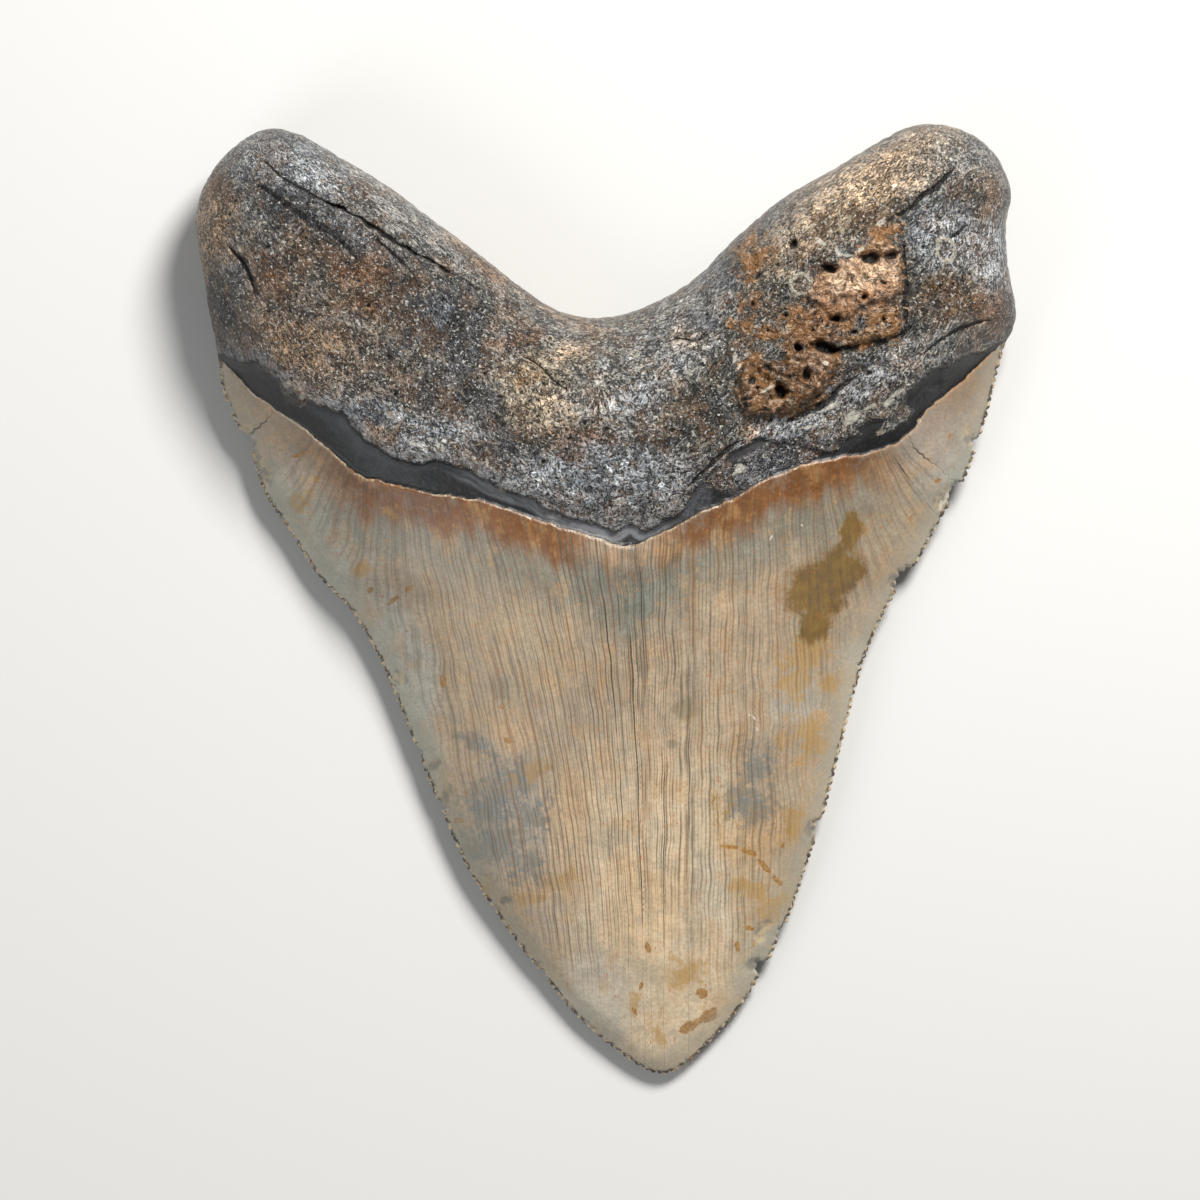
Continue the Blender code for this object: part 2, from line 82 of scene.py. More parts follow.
CHIPS = [  # x, y, half width, depth
    (-52.4, 24.2, 2.4, 1.3), (-27.7, -22.6, 1.3, 0.6), (-15.8, -45.6, 1.4, 0.5),
    (23.4, -54.8, 1.5, 1.4), (31.9, -34.0, 1.8, 0.7), (44.6, 3.2, 2.4, 1.1),
    (52.0, 16.2, 2.2, 1.2), (55.2, 23.4, 1.3, 0.9), (-56.9, 28.6, 1.2, 0.5),
    (26.2, -49.6, 1.8, 0.5), (-24.6, -30.4, 1.1, 0.5), (-9.4, -55.8, 1.2, 0.4),
]
SCARS = [  # flakes off the face beside the edge: x, y, half widths in X and Y, turn
    (-30.6, -11.6, 1.2, 1.6, 20), (-25.6, -24.6, 1.5, 0.9, 30), (-23.8, -29.2, 1.7, 1.2, 40),
    (-15.2, -45.2, 1.9, 1.1, 25), (-50.7, 18.6, 1.3, 1.9, 10), (-53.8, 25.4, 1.6, 1.2, 40),
    (23.4, -49.3, 1.3, 2.6, -25), (30.6, -34.2, 1.3, 1.6, 0), (22.1, -54.2, 1.6, 1.1, 30),
    (50.4, 15.4, 1.3, 3.0, -30), (42.8, 3.0, 1.4, 1.0, 40), (-10.2, -54.6, 1.2, 0.9, 30),
    (54.0, 24.6, 1.2, 2.2, 10), (-52.0, 21.4, 1.1, 1.7, 0),
]

# Height of the outline over the surface, and the stretch of Y over which it changes
TIP_EDGE_HEIGHT = 2.2
BLADE_EDGE_HEIGHT = 3.7
ROOT_EDGE_HEIGHT = 9.0
TIP_RISE = (-72.0, -28.0)
ROOT_RISE = (8.0, 55.0)

# Lingual form
CROWN_BULGE = 20.5
CROWN_TAPER = 0.78
CROWN_SECTION = 2.3
NECK_Y = 25.0
ROOT_BULGE = 13.4
ROOT_ROUNDING = 12.5
LOBE_THINNING = 3.0
LOBE_REACH = (28.0, 58.0)
PROTUBERANCE = (0.5, 23.0, 20.0, 11.5, 8.6)
LOBE_HOLLOW = (-27.0, 40.0, 12.0, 8.0, -1.6)
NECK_BLEND = (-4.0, 8.0)
LEAST_BULGE = 0.25
ENAMEL_LINE = [
    (-58.6, 36.8), (-57.0, 35.4), (-54.6, 33.2), (-52.3, 30.8), (-49.4, 28.7), (-45.6, 26.2),
    (-42.6, 23.8), (-39.6, 21.2), (-36.4, 18.5), (-33.7, 17.8), (-30.7, 17.0), (-26.2, 15.9),
    (-22.5, 15.3), (-18.8, 14.8), (-15.8, 13.9), (-12.8, 12.9), (-9.8, 11.9), (-6.9, 10.9),
    (-3.9, 10.1), (-0.9, 9.2), (1.3, 8.3), (2.9, 8.2), (5.1, 8.5), (6.6, 9.2), (8.8, 10.2),
    (11.8, 11.8), (14.0, 13.1), (17.0, 14.2), (19.2, 15.3), (21.5, 16.7), (23.7, 18.0),
    (26.0, 18.8), (28.9, 20.0), (31.9, 20.6), (34.9, 21.2), (37.8, 21.6), (40.8, 22.4),
    (43.1, 23.4), (44.7, 24.5), (46.0, 26.1), (47.5, 28.2), (49.8, 30.1), (52.0, 31.8),
    (53.5, 33.1), (55.0, 34.6), (56.5, 36.1), (58.0, 37.4), (59.9, 38.8),
]
ROOT_LINE = [
    (-58.4, 37.0), (-56.6, 36.4), (-54.5, 35.6), (-53.3, 35.2), (-51.9, 35.3), (-50.7, 34.3),
    (-49.2, 33.2), (-47.4, 31.9), (-45.6, 30.6), (-42.6, 28.8), (-40.8, 28.3), (-39.0, 27.4),
    (-37.5, 25.9), (-36.4, 24.7), (-35.2, 23.5), (-33.7, 22.6), (-31.0, 21.0), (-28.6, 20.2),
    (-25.3, 20.6), (-21.8, 19.6), (-18.8, 18.2), (-16.4, 16.9), (-13.7, 15.8), (-11.0, 15.0),
    (-9.1, 13.6), (-6.4, 12.7), (-3.3, 11.6), (-0.6, 10.8), (1.2, 10.1), (2.2, 10.5),
    (3.0, 11.0), (4.4, 11.0), (5.2, 10.2), (6.4, 10.3), (8.3, 11.6), (10.7, 12.6),
    (11.8, 13.8), (12.6, 15.6), (14.0, 17.2), (16.0, 19.4), (18.0, 21.2), (20.0, 22.6),
    (22.9, 23.8), (27.0, 23.2), (29.4, 22.8), (32.0, 21.9), (34.4, 22.5), (34.2, 23.6),
    (36.6, 24.2), (38.6, 26.4), (42.7, 27.1), (44.0, 28.3), (44.4, 30.3), (45.6, 31.6),
    (47.2, 33.0), (48.5, 34.0), (50.8, 34.5), (51.6, 35.3), (54.1, 36.4), (56.1, 37.0),
    (57.9, 37.9), (59.8, 38.9),
]
ENAMEL_STEP = 0.55
ROOT_STEP = 0.8
STEP_HALF_WIDTH = 0.25

# Labial form
LABIAL_ENAMEL_LINE = [
    (-58.6, 36.8), (-50.0, 31.0), (-38.0, 26.6), (-22.0, 25.6), (-8.0, 27.6), (2.0, 28.6),
    (12.0, 27.8), (26.0, 26.4), (40.0, 27.6), (51.0, 32.4), (59.9, 38.8),
]
LABIAL_SECTION = 3.2
LABIAL_TAPER = 0.7
LABIAL_TAPER_LENGTH = 36.0
LABIAL_ROUNDING = 7.0
LABIAL_BLEND = (-3.0, 3.0)
LABIAL_STEP = 0.6
HOLLOW = 1.4
FLATS = [(4.0, -18.0, 15.0, 26.0), (-43.0, 54.0, 13.0, 10.0), (44.0, 54.5, 12.0, 10.0)]
FLAT_REACH = 3.0

RELIEF_FADE = 3.0
HOLLOW_FADE = 6.0
LUMP_SIZE = 9.0
LUMP_HEIGHT = 0.55
LINGUAL_SEED = 1.3
LABIAL_SEED = 7.9

# Cracks and grooves of the root: points with a half width at each, then the depth
CRACKS = [
    ([(-50.4, 65.0, 0.2), (-48.2, 62.8, 0.4), (-45.2, 61.0, 0.5), (-42.0, 59.2, 0.4),
      (-39.4, 58.0, 0.2)], 0.25),
    ([(-41.4, 58.8, 0.02), (-40.4, 58.4, 0.16), (-38.8, 57.8, 0.24), (-37.6, 57.0, 0.1),
      (-36.2, 56.5, 0.18), (-35.0, 55.4, 0.34), (-33.8, 54.9, 0.2), (-32.8, 54.0, 0.36),
      (-31.4, 53.2, 0.3), (-30.4, 52.4, 0.1), (-29.4, 52.1, 0.26), (-28.2, 51.2, 0.2),
      (-27.2, 50.9, 0.06), (-26.0, 50.2, 0.24), (-24.9, 49.7, 0.1), (-23.8, 48.8, 0.2),
      (-22.4, 48.2, 0.02)], 0.9),
    ([(-20.6, 47.0, 0.02), (-19.4, 46.2, 0.14), (-18.2, 45.8, 0.02)], 0.5),
    ([(-51.6, 61.5, 0.2), (-48.2, 59.4, 0.6), (-45.6, 57.4, 0.7), (-42.4, 55.4, 0.8),
      (-39.6, 53.6, 0.7), (-36.7, 50.4, 0.2)], 0.4),
    ([(-34.2, 53.6, 0.1), (-31.4, 51.2, 0.4), (-28.8, 48.6, 0.3), (-27.4, 46.2, 0.1)], 0.35),
    ([(41.3, 55.8, 0.14), (42.8, 56.7, 0.26), (44.4, 57.4, 0.2), (45.7, 58.6, 0.3),
      (46.9, 59.9, 0.36), (48.5, 60.8, 0.4), (50.0, 62.4, 0.3), (51.4, 63.7, 0.1)], 0.9),
    ([(50.9, 53.6, 0.2), (52.0, 54.3, 0.24), (53.2, 55.4, 0.1)], 0.7),
    ([(-55.6, 52.2, 0.2), (-53.4, 49.6, 0.35), (-52.2, 46.9, 0.3), (-51.6, 44.6, 0.15)], 0.5),
    ([(12.2, 16.8, 0.15), (14.4, 19.0, 0.35), (17.0, 21.4, 0.3), (19.4, 23.4, 0.2)], 0.7),
    ([(26.8, 26.4, 0.2), (29.6, 27.8, 0.5), (32.4, 29.2, 0.45), (34.4, 31.2, 0.3),
      (37.4, 33.4, 0.1)], 0.9),
    ([(33.6, 37.0, 0.2), (36.6, 37.3, 0.45), (39.8, 38.0, 0.5), (43.2, 38.9, 0.3),
      (45.0, 40.4, 0.15)], 0.8),
    ([(43.9, 52.4, 0.15), (44.1, 48.6, 0.4), (44.2, 44.6, 0.5), (44.3, 40.8, 0.25)], 0.6),
    ([(7.4, 37.4, 0.05), (10.4, 38.6, 0.16), (13.6, 38.4, 0.2), (16.4, 40.4, 0.1)], 0.5),
    ([(-12.6, 36.2, 0.05), (-9.8, 34.6, 0.14), (-7.4, 32.2, 0.2), (-5.6, 30.9, 0.08)], 0.5),
    ([(46.4, 36.0, 0.1), (49.6, 38.6, 0.3), (53.4, 40.6, 0.35), (56.8, 41.6, 0.1)], 0.45),
]

# The crust: its low plateau, the shelf and the lump on it, their pits, and the ring scars
PLATEAU = [
    (19.2, 29.8), (18.6, 32.8), (19.4, 35.5), (19.7, 38.7), (19.4, 42.0), (20.0, 44.7),
    (19.2, 47.7), (19.5, 50.4), (20.6, 52.2), (22.9, 53.6), (25.9, 54.4), (28.9, 53.9),
    (32.2, 53.7), (36.4, 54.0), (40.8, 54.2), (43.4, 53.2), (43.7, 49.2), (43.5, 44.7),
    (43.4, 41.0), (42.8, 38.7), (39.3, 38.0), (35.6, 37.0), (34.6, 34.9), (33.4, 32.8),
    (31.6, 30.7), (28.9, 28.6), (26.7, 27.1), (24.1, 26.2), (21.5, 26.8), (19.7, 28.0),
]
SHELF = [
    (29.0, 44.6), (31.0, 47.4), (32.1, 48.6), (34.8, 50.1), (36.5, 51.1), (37.9, 52.9),
    (40.6, 53.6), (43.2, 53.0), (43.6, 49.6), (43.5, 45.3), (42.0, 43.8), (38.6, 43.1),
    (36.5, 41.5), (34.4, 40.8), (32.7, 42.2), (30.3, 42.9),
]
LUMP = [
    (19.0, 31.9), (19.5, 33.7), (20.7, 35.4), (22.8, 36.1), (25.5, 36.1), (26.9, 37.4),
    (29.7, 37.9), (31.7, 38.1), (34.4, 36.4), (34.8, 34.7), (33.8, 32.6), (32.4, 30.6),
    (31.0, 29.2), (29.3, 28.2), (27.9, 27.3), (25.5, 26.8), (23.8, 26.3), (21.4, 26.8),
    (19.7, 28.2), (19.0, 29.9),
]
CRUST_RISES = [  # ring, height, width of its shoulder
    (PLATEAU, 0.4, 1.1), (SHELF, 0.8, 1.0), (LUMP, 1.5, 1.6),
]
CRUST_SPOTS = [  # where the plateau is crust as well: x, y, half widths in X and Y, turn
    (21.6, 51.0, 2.2, 2.8, 0), (21.4, 44.0, 1.9, 1.8, 0), (21.4, 39.6, 2.8, 2.2, 0),
    (34.0, 42.0, 6.6, 2.6, 12), (40.6, 42.6, 3.6, 2.4, 0), (29.8, 39.4, 4.6, 1.9, -10),
    (38.6, 39.2, 4.8, 1.3, 8), (41.0, 54.6, 2.4, 1.2, 10),
]
PITS = [  # x, y, half widths in X and Y, turn, depth
    (27.6, 52.9, 0.85, 0.85, 0, 1.8), (19.7, 52.2, 0.4, 0.4, 0, 0.8),
    (33.1, 49.1, 1.5, 0.8, -10, 1.6), (39.0, 50.3, 2.2, 1.0, -6, 2.0),
    (42.2, 50.8, 1.1, 0.8, 20, 1.6), (38.4, 44.8, 0.8, 0.55, 0, 1.6),
    (33.8, 41.7, 0.8, 0.65, 0, 1.6), (28.4, 37.6, 0.9, 0.8, 0, 2.4),
    (32.4, 37.0, 2.2, 1.0, -25, 2.6), (29.3, 33.0, 0.8, 1.0, -35, 1.8),
    (25.9, 30.8, 0.95, 1.4, -15, 2.6), (20.7, 29.6, 1.3, 0.4, 8, 0.8),
    (21.6, 43.6, 0.55, 0.55, 0, 1.0), (20.7, 39.8, 0.35, 0.35, 0, 0.8),
    (23.5, 39.8, 0.4, 0.4, 0, 0.8), (38.9, 33.3, 0.45, 0.4, 0, 0.8),
    (21.8, 32.4, 0.9, 0.6, 50, 0.9), (24.0, 34.6, 0.6, 0.5, 0, 0.9),
    (31.2, 30.2, 0.5, 0.8, -40, 0.8), (23.6, 28.0, 0.8, 0.45, 10, 0.8),
    (36.0, 47.4, 0.5, 0.35, 20, 0.5), (41.0, 47.0, 0.6, 0.35, -30, 0.5),
    (30.6, 40.0, 0.5, 0.35, 0, 0.7), (26.6, 42.0, 0.4, 0.5, 0, 0.7),
    (36.4, 39.6, 0.6, 0.35, 0, 0.8), (40.8, 41.4, 0.5, 0.4, 0, 0.8),
    (22.2, 47.8, 0.4, 0.6, 0, 0.7), (25.2, 49.6, 0.4, 0.35, 0, 0.6),
]
PIT_WALL = (-0.35, 0.7)
RINGS = [  # x, y, half widths in X and Y, turn
    (50.1, 51.7, 1.5, 2.05, 8), (28.8, 46.6, 1.8, 1.7, 40), (4.4, 36.4, 0.7, 0.55, 0),
    (-8.2, 38.6, 0.55, 0.55, 0),
]
RING_HEIGHT = 0.28
HOLES = [  # x, y, radius
    (9.8, 25.0, 0.42), (0.2, 25.3, 0.4), (0.3, 32.0, 0.34), (-3.1, 26.1, 0.42),
    (-5.4, 23.8, 0.4), (6.6, 21.6, 0.34), (2.1, 20.7, 0.3), (-4.6, 29.1, 0.32),
    (-9.8, 27.2, 0.34), (-12.6, 30.6, 0.3), (13.2, 27.4, 0.3), (-1.4, 28.6, 0.3),
    (4.4, 23.4, 0.3), (-38.6, 47.6, 0.34), (-46.4, 49.8, 0.3), (-49.6, 55.8, 0.34),
    (-22.4, 40.6, 0.3), (-33.0, 52.4, 0.3), (17.6, 30.4, 0.3), (52.6, 47.2, 0.3),
]
SCATTERED_PORES = 150
PORE_SEED = 11

# Grain of the bone: the height and the depth from the rim over which its texture is unrolled,
# its middle line, and the height of its relief
ROOT_TOP = 22.0
UNROLLED = (15.0, 4.0)
GRAIN_LINE = [(-62.0, 60.0), (-45.0, 49.0), (-28.0, 40.0), (-10.0, 33.0), (4.0, 31.0),
              (16.0, 34.0), (30.0, 43.0), (46.0, 53.0), (62.0, 60.0)]
GRAIN_LENGTH = 1.15
GRAIN_WIDTH = 0.8
GRAIN_HEIGHT = 0.19
RUBBLE_SIZE = 3.2
RUBBLE_HEIGHT = 0.34

# Cracks of the enamel that follow a growth line: where the line starts, the stretch below the
# enamel line from and to which the crack runs, and its half width
FISSURES = [
    (2.6, 12.0, 58.0, 0.11), (8.4, 34.0, 63.0, 0.09), (-48.6, 0.5, 5.5, 0.14),
    (44.6, 0.5, 5.0, 0.1), (42.0, 1.0, 6.0, 0.08), (-1.6, 8.0, 30.0, 0.06),
    (4.8, 2.0, 24.0, 0.07), (12.4, 30.0, 48.0, 0.06),
]

# How far a growth line of the enamel leans to +X for each millimetre that it goes down
LEAN_X = (-60.0, -50.0, -42.0, -34.0, -27.0, -15.0, -5.0, 3.0, 9.0, 22.0, 31.0, 38.0, 43.0,
          47.0, 51.0, 60.0)
LEAN = (-1.5, -1.2, -0.5, 0.0, 0.2, 0.29, 0.2, 0.08, 0.0, 0.0, 0.05, 0.25, 0.5, 0.95, 1.45, 1.8)
LEAN_FADE_LENGTH = 70.0
TRACE_STEP = 0.8

# Spacing of the mesh's points
CURVE_STEP = 0.06
EDGE_SPACING = 0.15
ROOT_EDGE_SPACING = 0.42
BONE_SPACING = 0.345
ENAMEL_SPACING = 0.5
LABIAL_BONE_SPACING = 0.72
LABIAL_ENAMEL_SPACING = 0.95
EDGE_ROWS = (0.3, 0.62, 1.0)
EDGE_ROW_SPACING = 0.3
CRACK_ROWS = (-0.52, -0.22, 0.0, 0.22, 0.52)
CRACK_ROW_SPACING = 0.27
LATTICE_HALF_SIZE = (62.0, 72.0)

# Bake map: the face that shows gets twice the scale of the labial one, which lies turned beside it
MAP_SIZE = 162.0
LINGUAL_PLACE = (64.5, 74.5)
LABIAL_PLACE = (127.0, 38.8)
LABIAL_SCALE = 0.5
MAP_FLARE = 0.35

PALETTE = {
    "fossil grey": "#5e5a55", "ash": "#7a7976", "slate": "#5a6067", "charcoal": "#2d2e31",
    "black": "#1a1a1a", "umber": "#4a3a27", "tan": "#785b3b", "sand": "#b99f80",
    "straw": "#93836a", "rust": "#6f4522", "pebble": "#6d6a64", "moss": "#38372b",
    "zinc": "#94989c", "chestnut": "#6f5131", "clay": "#b39378", "bark": "#3e2b19",
    "graphite": "#121213", "lead": "#4c4d51", "stone": "#a39078", "dun": "#ab9576",
    "blond": "#c8b395", "putty": "#bbb19f", "ginger": "#794e2a", "sienna": "#66401e",
    "peach": "#d8b98f",
    "teal grey": "#696e66", "apricot": "#c09c70", "sage": "#a9a798", "mist": "#aeaba1",
}

# Soft stains, painted one after another, among them a few patches of painted light and shade that
# are marked below: colour, x, y, half widths in X and Y, turn, strength
BONE_STAINS = [
    # The ash strip at -30.0, 58.5 along the left lobe's upper edge is partly its own paler colour
    # and partly painted light on the side that faces the light
    ("pebble", 3.0, 36.0, 22.0, 8.0, 0, 0.6), ("ash", -30.0, 58.5, 22.0, 4.6, -35, 0.85),
    ("slate", -48.0, 63.5, 10.0, 6.0, -20, 0.7), ("charcoal", -44.0, 57.0, 14.0, 4.2, -32, 0.85),
    ("slate", -36.0, 52.0, 7.0, 2.6, -35, 0.5),
    ("umber", -41.0, 46.5, 16.0, 7.0, -16, 0.9), ("rust", -35.5, 48.5, 5.0, 2.6, -10, 0.55),
    ("straw", -32.5, 41.5, 4.0, 3.0, -20, 0.45), ("rust", -50.0, 49.0, 4.0, 3.0, -30, 0.4),
    ("charcoal", -25.0, 41.5, 9.5, 6.0, -25, 0.95), ("slate", -25.0, 42.4, 4.0, 3.0, -25, 0.5),
    ("tan", -45.5, 37.8, 9.0, 4.2, -18, 0.75), ("umber", -34.0, 34.0, 9.0, 4.4, -20, 0.6),
    ("charcoal", -22.0, 31.0, 8.0, 4.0, -20, 0.7), ("slate", -30.0, 25.2, 12.0, 3.2, -18, 0.85),
    ("tan", -33.4, 24.6, 3.0, 2.0, -30, 0.7), ("ash", -24.0, 22.6, 5.0, 1.6, -15, 0.7),
    ("straw", -9.0, 33.6, 7.0, 4.0, 15, 0.7), ("straw", -10.0, 27.6, 6.0, 4.0, -40, 0.7),
    ("pebble", -1.0, 31.0, 6.0, 5.0, 0, 0.6), ("rust", -6.0, 23.8, 8.0, 1.8, -5, 0.6),
    ("charcoal", -17.0, 24.5, 6.0, 3.0, -20, 0.75), ("rust", -13.0, 38.6, 4.4, 1.6, 10, 0.5),
    # The zinc patch at -1.0, 18.2 is a painted highlight: the root's lower middle made pale and
    # bluish
    ("zinc", -1.0, 18.2, 14.0, 4.6, 0, 0.95), ("tan", -8.6, 44.6, 12.0, 2.0, -30, 0.6),
    ("slate", 5.0, 30.6, 3.4, 3.0, 10, 0.5), ("ash", 7.0, 38.4, 7.0, 3.4, 10, 0.5),
    ("moss", 14.6, 28.0, 5.4, 7.0, 0, 0.95), ("charcoal", 8.8, 24.0, 6.0, 2.2, 20, 0.75),
    ("slate", 14.0, 40.0, 4.0, 3.0, 30, 0.6), ("moss", 17.0, 37.0, 2.6, 5.0, 0, 0.6),
    ("sand", 39.4, 61.0, 16.0, 5.0, 32, 0.9), ("sand", 33.0, 57.0, 8.0, 3.0, 35, 0.5),
    ("ash", 52.5, 64.0, 6.0, 5.4, 0, 0.75), ("pebble", 46.5, 64.6, 4.0, 3.0, 30, 0.4),
    ("slate", 48.4, 55.6, 5.0, 4.6, 30, 0.6), ("moss", 47.0, 49.0, 2.6, 4.6, 0, 0.5),
    ("zinc", 57.0, 51.0, 3.2, 5.6, 0, 0.8), ("tan", 55.4, 60.0, 3.0, 4.0, 0, 0.5),
    ("umber", 51.5, 44.8, 7.4, 4.6, 0, 0.85), ("rust", 57.0, 43.0, 3.0, 3.4, 0, 0.6),
    ("tan", 53.0, 42.0, 4.4, 1.6, 20, 0.5), ("pebble", 45.6, 37.0, 10.0, 3.0, 25, 0.7),
    ("charcoal", 41.0, 34.8, 8.0, 1.6, 22, 0.75), ("zinc", 38.0, 31.4, 7.0, 1.8, 25, 0.5),
    ("moss", 37.0, 56.0, 9.0, 2.4, 15, 0.75), ("straw", 24.0, 49.6, 5.0, 4.6, 40, 0.6),
    ("moss", 25.0, 44.6, 5.0, 3.0, 0, 0.6), ("slate", 17.0, 47.4, 3.0, 3.4, 40, 0.6),
    ("ash", 12.6, 44.0, 6.0, 2.6, 35, 0.6), ("zinc", 26.0, 25.2, 8.0, 2.0, 12, 0.7),
    ("lead", 24.0, 20.6, 13.0, 3.0, 20, 1.0), ("clay", 20.8, 25.0, 1.8, 1.2, 0, 0.8),
    ("zinc", -47.0, 64.8, 9.0, 4.4, -20, 0.7), ("zinc", 50.2, 52.6, 5.0, 4.6, 0, 0.85),
    ("ash", 46.6, 37.2, 6.0, 2.2, 25, 0.7), ("zinc", 10.4, 37.6, 7.0, 3.4, 10, 0.25),
    ("black", 16.4, 26.8, 3.4, 4.4, 0, 0.75), ("charcoal", 26.0, 44.6, 3.4, 3.0, 0, 0.5),
    ("tan", -58.8, 55.6, 4.2, 9.0, 0, 1.0), ("rust", -59.6, 51.0, 2.4, 5.0, 0, 0.5),
    # The black patch at -55.8, 44.2 is painted shade on the left flank, which faces away from the
    # light
    ("black", -55.8, 44.2, 3.4, 6.6, 10, 1.0), ("tan", -45.4, 30.2, 2.6, 1.6, -30, 0.9),
    ("clay", -5.6, 36.7, 3.0, 1.4, 15, 0.4), ("tan", -11.0, 32.5, 2.6, 1.5, 20, 0.7),
    ("zinc", 9.9, 36.0, 1.8, 2.2, 0, 0.6), ("zinc", 3.4, 29.0, 3.2, 2.0, 10, 0.45),
    ("sand", 12.0, 38.4, 3.4, 2.2, 20, 0.35), ("sand", -59.0, 56.0, 3.0, 7.0, 0, 0.45),
    ("sand", -7.2, 27.4, 2.4, 3.4, 20, 0.4), ("moss", -10.4, 23.6, 4.4, 1.5, -15, 0.7),
    # The zinc patch at -1.0, 19.0 is a painted highlight on the root's lower middle as well
    ("rust", -5.4, 21.4, 2.2, 0.8, -10, 0.6), ("zinc", -1.0, 19.0, 4.0, 1.8, -10, 0.7),
    ("charcoal", -3.0, 31.8, 2.4, 1.0, -30, 0.6), ("zinc", -0.6, 34.6, 2.4, 1.4, -20, 0.6),
    ("rust", -34.4, 43.6, 2.6, 1.5, 10, 0.6), ("tan", -21.0, 52.2, 4.4, 1.5, -40, 0.7),
    ("rust", -16.8, 48.8, 3.0, 1.3, -42, 0.6), ("pebble", -37.8, 41.4, 2.6, 1.5, 0, 0.7),
    ("zinc", -24.0, 25.8, 8.4, 1.5, -18, 0.6), ("charcoal", -31.0, 37.4, 3.4, 2.0, -20, 0.6),
]
BAND_CRUMBS = [  # where the band is as rough as the bone: x, y, half widths in X and Y, turn
    (25.0, 21.2, 12.0, 2.4, 20), (-47.0, 31.0, 1.1, 0.9, 0), (-44.7, 29.7, 1.5, 1.1, 20),
    (19.8, 19.2, 1.4, 1.2, 0), (43.0, 26.6, 3.0, 1.2, 30),
]
CRUST_STAINS = [
    ("bark", 26.8, 32.0, 11.0, 8.0, 25, 1.0), ("chestnut", 22.0, 30.4, 4.0, 4.6, 0, 0.5),
    ("clay", 36.6, 47.6, 9.0, 5.4, 10, 1.0), ("sand", 37.0, 48.0, 5.0, 2.4, 10, 0.5),
    ("rust", 34.0, 43.0, 7.0, 2.2, 15, 0.7), ("rust", 40.6, 44.6, 4.0, 1.6, 10, 0.5),
    ("clay", 30.6, 34.6, 3.4, 2.0, 20, 0.4), ("tan", 40.0, 52.4, 4.0, 1.4, 0, 0.7),
]
BAND_STAINS = [
    ("lead", 24.0, 20.4, 10.0, 3.2, 20, 0.95), ("lead", 13.0, 14.6, 3.6, 3.0, 30, 0.5),
    ("ash", -6.0, 12.4, 9.0, 0.9, -20, 0.8), ("charcoal", 48.0, 30.0, 4.0, 2.0, 40, 0.5),
    ("fossil grey", -46.0, 30.2, 3.0, 1.4, -35, 0.35),
]
ENAMEL_STAINS = [
    ("stone", 0.0, 2.0, 34.0, 18.0, 0, 0.7), ("dun", -19.0, -8.0, 12.0, 16.0, 0, 0.7),
    ("blond", 6.0, -38.0, 18.0, 18.0, 0, 0.85), ("blond", 8.0, -58.0, 16.0, 14.0, 0, 0.9),
    ("putty", -2.0, -60.0, 9.0, 7.0, 40, 0.7), ("sage", -43.0, 8.0, 8.0, 12.0, 25, 0.6),
    ("sage", -52.0, 24.0, 6.0, 8.0, 0, 0.6), ("mist", 51.0, 22.0, 8.0, 8.0, 0, 0.75),
    ("mist", -49.0, 19.0, 4.0, 6.0, 0, 0.5), ("teal grey", 3.4, 0.0, 3.4, 9.0, 0, 0.5),
    ("apricot", 22.0, -34.6, 5.0, 7.0, -20, 0.55), ("apricot", -9.0, -42.0, 6.0, 4.0, 10, 0.5),
    ("apricot", -13.4, -20.6, 3.6, 2.6, 0, 0.5), ("putty", 16.0, -44.0, 3.0, 6.0, 10, 0.5),
    ("peach", 5.0, -45.0, 6.0, 8.0, 0, 0.6), ("mist", -30.0, -9.0, 4.6, 12.0, 18, 0.75),
    ("mist", -41.6, 7.0, 4.0, 8.0, 25, 0.55), ("mist", 28.0, -15.0, 4.0, 5.0, 0, 0.5),
    ("apricot", -5.4, -31.0, 3.0, 8.0, 0, 0.5), ("stone", 28.0, -27.6, 4.4, 5.0, 0, 0.5),
    ("stone", 13.0, -14.0, 3.0, 4.0, 0, 0.7), ("sage", 38.0, -12.0, 3.0, 8.0, 15, 0.5),
    ("sage", -28.0, -20.0, 3.0, 8.0, 20, 0.6), ("sage", 24.0, -54.0, 3.6, 6.0, -30, 0.5),
]
# Bands that follow the enamel line: colour, the two stretches below the line over which the
# band comes and goes, and its strength at the middle and at the sides
ENAMEL_BANDS = [
    ("teal grey", (2.0, 5.5), (8.0, 17.0), 0.8, 0.6),
    ("ginger", (-2.0, -1.0), (3.6, 8.0), 0.3, 1.0), ("sienna", (-2.0, -1.0), (1.0, 5.6), 0.1, 0.65),
]
BAND_CORNERS = (34.0, 44.0)  # over which distance to either side the bands fade
OLIVE_STAINS = [  # x, y, half widths in X and Y, turn
    (31.2, 1.4, 6.0, 4.8, 30), (34.8, 4.8, 4.4, 4.2, 40), (36.4, 9.6, 1.9, 4.6, -4),
    (30.8, -3.4, 3.0, 3.4, -10),
]
HONEY_STAINS = [
    (29.4, -8.4, 4.4, 8.0, -20), (28.2, -12.4, 3.8, 4.6, -20), (36.8, 9.4, 2.6, 5.0, 0),
    (30.6, -21.4, 3.8, 4.2, 0), (21.5, -42.9, 4.4, 2.0, -8),
    (28.2, -32.8, 2.2, 3.0, 0), (-6.4, -41.2, 2.8, 1.8, 0), (-11.4, -44.4, 2.6, 1.6, 10),
    (12.1, -55.6, 2.8, 2.6, 0), (33.6, -12.7, 1.8, 2.2, 0), (-10.6, -25.4, 2.0, 2.4, 0),
    (-13.8, -27.2, 1.6, 1.4, 0), (-36.2, 4.4, 1.8, 1.4, 0), (-31.8, 13.0, 2.0, 1.2, -30),
    (25.2, -45.4, 2.0, 2.6, -30), (16.4, -30.4, 1.6, 2.6, 0), (-18.6, -43.0, 2.4, 1.8, 30),
    (8.2, -65.4, 1.2, 2.4, 10), (4.2, -60.4, 1.6, 2.0, 0), (-45.4, 14.6, 2.6, 1.6, 20),
]
